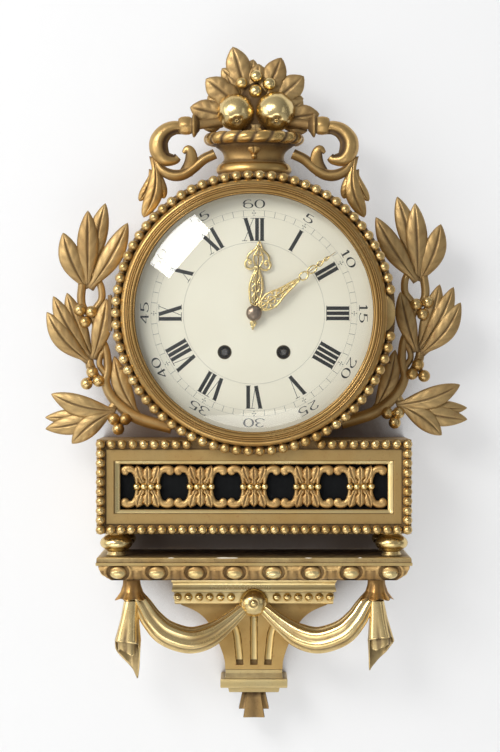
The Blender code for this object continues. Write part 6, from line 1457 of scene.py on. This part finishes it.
APPLES = ((-18.6, 205.6, 19.0), (21.6, 206.4, 20.3))
CREST_BERRIES = ((2.3, 242.4, 6.6), (-12.4, 235.4, 6.0), (15.8, 234.6, 6.9), (1.6, 227.2, 7.0))
CREST_LEAVES = ((-3.0, 208.0, -21.6, 273.4, 27.0), (5.0, 208.0, 28.1, 262.0, 26.0), (-6.0, 206.0, -49.1, 240.2, 27.0),
                (8.0, 206.0, 51.0, 243.2, 27.0), (-10.0, 198.0, -65.3, 211.2, 26.0), (12.0, 197.0, 66.8, 204.4, 25.0),
                (1.0, 206.0, 5.0, 256.0, 26.0))
fruit = []
for x, z, radius in APPLES:
    down = np.linspace(0.02, np.pi - 0.02, 34)[:, None]
    around = np.arange(52)[None, :] * 2 * np.pi / 52
    dent = 0.16 * np.exp(-(down / 0.24) ** 2)
    cheek = radius * (1 - dent) * (1 + 0.012 * np.cos(5 * around))
    eye = np.array([0.08, 0.80, -0.59])
    eye /= np.linalg.norm(eye)
    over = np.cross(eye, (1.0, 0.0, 0.0))
    over /= np.linalg.norm(over)
    wide = np.cross(over, eye)
    apple = (np.array([x, 68.0, z]) + cheek[..., None] * (np.cos(down)[..., None] * eye
             + (np.sin(down) * np.cos(around))[..., None] * wide + (np.sin(down) * np.sin(around))[..., None] * over))
    # Painted shade in the dent round the eye and on the side of the apple away from it.
    fruit.append(patch(apple, toning_and_shade=np.exp(-((down - 0.13) / 0.10) ** 2) * 0.9
                       + np.clip(down - 2.4, 0, 1) + 0 * around))
    calyx = np.array([x, 68.0, z]) + 0.90 * radius * eye
    fruit += balls([calyx + 1.5 * (np.cos(a) * wide + np.sin(a) * over) for a in np.arange(5) * 2 * np.pi / 5],
                   1.1, 8, 6)
fruit += balls([(x, 69.0, z) for x, z, r in CREST_BERRIES], [r for x, z, r in CREST_BERRIES], 22, 14)
made("burnished_fruit", fruit, burnished, "case", ["fruit_bunch"])
leaf_gilding = gilt("leaf_gilding", (0.495, 0.34, 0.148), (0.38, 0.245, 0.10), 0.42, 0.4, 0.95, 0.85)
crest = []
for i, (bx, bz, tx, tz, width) in enumerate(CREST_LEAVES):
    level = 59.0 + 1.5 * (i % 3)
    base, tip = np.array([bx, bz]), np.array([tx, tz])
    crest.append(leaf(base, tip, width, level, 2.6, 3.0, 0.0, 3, 0.2, 6, 1.5, stalk=0.4, shape=1.35, droop=2.0,
                      veined=0.5, blunt=0.6))
    along = tip - base
    for way in (-1, 1):
        aside = np.array([-along[1], along[0]]) / np.hypot(*along) * way
        crest.append(leaf(base + 0.22 * along, base + 0.74 * along + 0.62 * width * aside, 0.74 * width, level - 0.8,
                          2.2, 2.2,
                          0.0, 2, 0.2, 4, 1.2, stalk=0.7, shape=1.35, rows=21, cols=13, blunt=0.65))
crest.append(leaf((2.0, 191.0), (2.0, 178.0), 13.0, 87.5, 2.2, 1.5, 0.0, 0, 0.0, 4, 1.0, 14.0, 0.8, 1.3, 11, 15))
core = smooth_line([(13.0, 185.5, 0), (17.0, 196.0, 0), (17.0, 212.0, 0), (12.0, 228.0, 0), (4.0, 238.0, 0)], 24)[:, :2]
# The core behind the leaves is given deep painted shade.
crest.append(patch(revolved(core, 28, upright=(1.0, 62.0), depth=0.55), toning_and_shade=0.9))
made("crest_leaves", crest, leaf_gilding, "case")

# Scrolls: a pair of carved and pierced brackets beside the vase. On each side a thick C scroll comes from a bud with a
# flaring collar on a stalk of the fruit, and an S scroll runs under it, with a curled leaf and a hanging one.

SCROLL_LEVEL, PEG_R = 70.0, 2.5
C_LINE = ((-71.0, 189.0, 6.2), (-80.8, 189.6, 7.2), (-90.2, 185.4, 8.4), (-96.6, 176.1, 9.6), (-96.0, 165.5, 9.6),
          (-90.0, 158.2, 7.9), (-81.0, 157.4, 5.4), (-77.4, 160.2, 4.2))
S_LINE = ((-99.6, 155.0, 3.4), (-93.4, 146.4, 4.9), (-83.2, 141.5, 5.8), (-72.6, 142.1, 5.8), (-62.1, 148.5, 5.6),
          (-51.5, 157.4, 5.4), (-39.6, 163.2, 5.3))

CURL_LINE = ((-69.0, 70.0, 143.5, 7.2), (-65.0, 71.5, 151.0, 7.0), (-63.6, 73.0, 158.0, 6.4), (-64.4, 74.0, 164.4, 5.4),
             (-67.6, 74.0, 167.4, 4.2), (-71.8, 73.0, 164.0, 2.0))


def fluted_rod(line, cut, side, dull):
    """A round rod that follows (x, z, radius) in the scroll's plane, with a groove between its front and its inner
    side, where the radius drops as a bell curve, and with painted shade in the groove, on the inner side or, if dull is
    below 0, the outer, and on the back."""
    turn = np.arange(28) * 2 * np.pi / 28
    bell = np.exp(-((turn - 0.27 * np.pi) / 0.30) ** 2)
    section = np.stack([-side * (1 - cut * bell) * np.cos(turn), (1 - cut * bell) * np.sin(turn)], -1)
    path = smooth_line(np.stack([line[:, 0], np.full(len(line), SCROLL_LEVEL), line[:, 1], line[:, 2]], -1), 80)
    tone = 0.85 * bell + np.clip(dull * np.cos(turn), 0, 1) ** 1.5 + np.clip(-np.sin(turn) - 0.4, 0, 1)
    return patch(carried(path[:, :3], section, path[:, 3:4]), toning_and_shade=np.tile(np.clip(tone, 0, 1), (80, 1)))


def peg(start, level, side):
    """A plain round dowel from a place on the carving straight in to the side of the drum."""
    start = np.array(start) * (side, 1.0)
    end = start / np.hypot(*start) * DRUM_CLEAR
    run = np.linspace(0, 1, 6)[:, None]
    path = np.stack([start[0] + (end - start)[0] * run[:, 0], np.full(6, level),
                     start[1] + (end - start)[1] * run[:, 0]], -1)
    # The dowel is given deep painted shade.
    return patch(carried(path, oval(PEG_R, PEG_R, 12)), toning_and_shade=0.9)


scroll_gilding = gilt("scroll_gilding", (0.56, 0.37, 0.145), (0.43, 0.265, 0.095), 0.34, 0.4, 1.0, 0.88)
HANGING = (((102.4, 160.0), (112.2, 98.2), 17.5, 7.0, 70.0), ((97.5, 150.0), (91.5, 117.5), 13.5, -2.0, 68.0),
           ((104.5, 147.0), (116.8, 115.0), 11.0, 3.0, 67.5))
collar_line = np.array([(-9.6, 4.4), (-9.2, 7.2), (-6.6, 9.0), (-2.0, 9.7), (2.0, 9.3), (4.4, 8.0), (4.8, 9.6),
                        (5.4, 11.8),
                        (6.6, 12.4), (8.2, 11.0), (10.2, 7.6), (12.4, 5.1)])
for side, word in ((-1, "left"), (1, "right")):
    mirror = np.array([-side, 1.0, 1.0])
    carving = [fluted_rod(np.array(C_LINE) * mirror, 0.24, side, 0.8),
               fluted_rod(np.array(S_LINE) * mirror, 0.12, side, -0.7)]
    curl = smooth_line(np.array(CURL_LINE) * (-side, 1, 1, 1), 40)
    ribbon = np.stack([oval(w, 3.0, 16) for w in curl[:, 3]])
    # Painted shade on one side of the curl.
    carving.append(patch(carried(curl[:, :3], ribbon),
                         toning_and_shade=np.tile(np.clip(-side * np.cos(np.arange(16) * np.pi / 8), 0, 1), (40, 1))))
    for base, tip, width, bend, level in HANGING:
        carving.append(leaf((side * base[0], base[1]), (side * tip[0], tip[1]), width, level, 2.8, 3.2, -side * bend,
                            0, 0.0, 6, 1.6,
                            stalk=0.5, shape=1.55, blunt=0.62))
    carving.append(peg((109.0, 107.5), SCROLL_LEVEL, side))
    bud_turn = np.arange(36) * 2 * np.pi / 36
    lobed = collar_line[:, 1:] * (1 + 0.035 * np.cos(6 * bud_turn))
    bud = np.stack([side * (67.6 - collar_line[:, :1]) + 0 * bud_turn, SCROLL_LEVEL + 0.9 * lobed * np.cos(bud_turn),
                    191.8 + lobed * np.sin(bud_turn)], -1)
    # Painted shade in the folds and at the ends of the collar.
    carving.append(patch(bud, toning_and_shade=np.array([0.8, 0.4, 0, 0, 0, 0.7, 0.9, 0.3, 0.1, 0.5, 0.8, 0.9])[:, None]))
    stalk = smooth_line([(side * 18.0, 65.0, 196.5), (side * 40.0, 67.5, 195.0), (side * 62.0, 70.0, 191.8)], 24)
    # The stalk gets a middling painted shade.
    carving.append(patch(carried(stalk, oval(4.8, 4.6, 14)), toning_and_shade=0.45))
    made("scroll_" + word + "_carving", carving, scroll_gilding, "case", ["scroll_" + word])

# Laurels: a carved branch on each side of the drum, rising from the plinth, with broad leaves in fans and berries in
# threes. The branch is fixed to the drum with pegs.

LAUREL_LEVEL, STEM_R, BERRY_R = 58.0, 3.9, 6.3
BRANCH = ((-84.0, -116.0, 1.5), (-119.6, -105.5, 1.55), (-141.4, -89.0, 1.35), (-151.3, -71.2, 1.2),
          (-149.3, -53.8, 1.1),
          (-151.3, -36.4, 1.05), (-156.4, -24.1, 1.0), (-164.6, -3.7, 1.0), (-174.0, 6.0, 1.05), (-176.6, 16.0, 1.1),
          (-175.4, 31.0, 1.1))
TWIGS = (((-154.0, -71.5, 0.9), (-161.0, -64.0, 1.1), (-167.0, -53.0, 1.2), (-168.0, -46.0, 1.0)),
         ((-150.8, -32.0, 0.8), (-156.8, -42.0, 0.8), (-158.0, -52.0, 0.8), (-152.0, -60.5, 0.9)),
         ((-141.4, -89.0, 1.0), (-148.0, -99.0, 1.0), (-151.0, -101.0, 0.8)),
         ((-167.0, 0.0, 0.85), (-161.0, 7.4, 0.92), (-155.7, 15.8, 0.95), (-156.1, 27.3, 0.95), (-160.7, 36.6, 0.9),
          (-168.0, 46.0, 0.75)),
         ((-151.3, -69.0, 0.9), (-160.0, -65.5, 0.9), (-165.5, -62.0, 0.8), (-169.0, -68.5, 0.6)),
         ((-125.0, -103.5, 0.9), (-131.5, -106.5, 0.9), (-138.6, -110.0, 0.8), (-138.6, -116.0, 0.6)))
LAUREL_LEAVES = (               # base, tip, width, bend, level
    ((-171.0, 26.0), (-195.3, 83.6), 23.0, 3.0, 58.0), ((-169.5, 30.0), (-169.7, 106.2), 22.0, 0.0, 59.0),
    ((-164.0, 46.0), (-152.0, 114.0), 20.0, 2.0, 55.5), ((-168.0, 26.0), (-128.8, 93.5), 22.0, -3.0, 61.0),
    ((-168.0, -48.7), (-211.7, 2.5), 21.0, 5.0, 60.0), ((-167.5, -44.6), (-205.3, 18.8), 20.0, 3.0, 58.0),
    ((-166.0, -42.0), (-191.5, 22.2), 20.0, 2.0, 56.0), ((-164.6, -46.0), (-150.3, 16.2), 20.0, -2.0, 60.5),
    ((-141.0, -99.0), (-207.2, -81.4), 22.0, 4.0, 61.0), ((-147.0, -97.0), (-213.8, -105.5), 18.0, 3.0, 56.0),
    ((-146.2, -99.0), (-213.2, -117.2), 21.0, 3.0, 58.5), ((-145.2, -100.0), (-186.1, -132.0), 21.0, -3.0, 61.0),
    ((-119.0, -103.0), (-143.1, -42.5), 19.0, 4.0, 55.0))
BERRIES = ((-177.9, 4.5), (-166.1, 2.5), (-172.4, -7.8), (-165.1, -58.9), (-170.8, -70.8), (-158.7, -68.0),
           (-143.1, -107.0),
           (-131.5, -107.0), (-138.6, -117.1))
RIGHT_TURN = np.radians(2.6)


def on_branch(points, side):
    """The left branch's (x, z) places as they are, or mirrored and turned a little for the right one."""
    points = np.array(points, float)
    if side < 0:
        return points
    x, z = -points[..., 0], points[..., 1]
    points[..., 0] = x * np.cos(RIGHT_TURN) - z * np.sin(RIGHT_TURN)
    points[..., 1] = x * np.sin(RIGHT_TURN) + z * np.cos(RIGHT_TURN)
    return points


for side, word in ((-1, "left"), (1, "right")):
    branch = []
    for line in (BRANCH, *TWIGS):
        line = np.array(line)
        line[:, :2] = on_branch(line[:, :2], side)
        path = smooth_line(np.stack([line[:, 0], np.full(len(line), LAUREL_LEVEL), line[:, 1], line[:, 2]], -1),
                           14 * len(line))
        turn = np.arange(16) * 2 * np.pi / 16
        section = np.stack([(1 + 0.06 * np.cos(5 * turn)) * np.cos(turn),
                            (1 + 0.06 * np.cos(5 * turn)) * np.sin(turn)], -1)
        # Painted shade on the back of the branch and twigs.
        tone = np.tile(np.clip(-np.sin(turn) - 0.2, 0, 1), (len(path), 1))
        branch.append(patch(carried(path[:, :3], section, STEM_R * path[:, 3:4]), toning_and_shade=tone))
    for start in ((-153.0, -6.0), (-139.0, -57.0), (-94.0, -114.5)):
        place = on_branch(start, side)
        branch.append(peg((side * place[0], place[1]), LAUREL_LEVEL, side))
    for base, tip, width, bend, level in LAUREL_LEAVES:
        branch.append(leaf(on_branch(base, side), on_branch(tip, side), width, level, 2.8, 4.0,
                           -side * bend if side > 0 else bend,
                           0, 0.0, 5, 1.5, stalk=0.4, shape=1.15, rows=39, cols=17, blunt=0.78))
    made("laurel_" + word + "_branch", branch, leaf_gilding, "case", ["laurel_" + word])
    round_fruit = on_branch(BERRIES, side)
    berries = np.stack([round_fruit[:, 0], np.full(len(BERRIES), 62.0), round_fruit[:, 1]], -1)
    made("laurel_" + word + "_berries", balls(berries, BERRY_R, 20, 13)
         + balls(berries + (0.6, BERRY_R - 0.3, -0.8), 0.9, 8, 6),
         bead_gilding, "case")
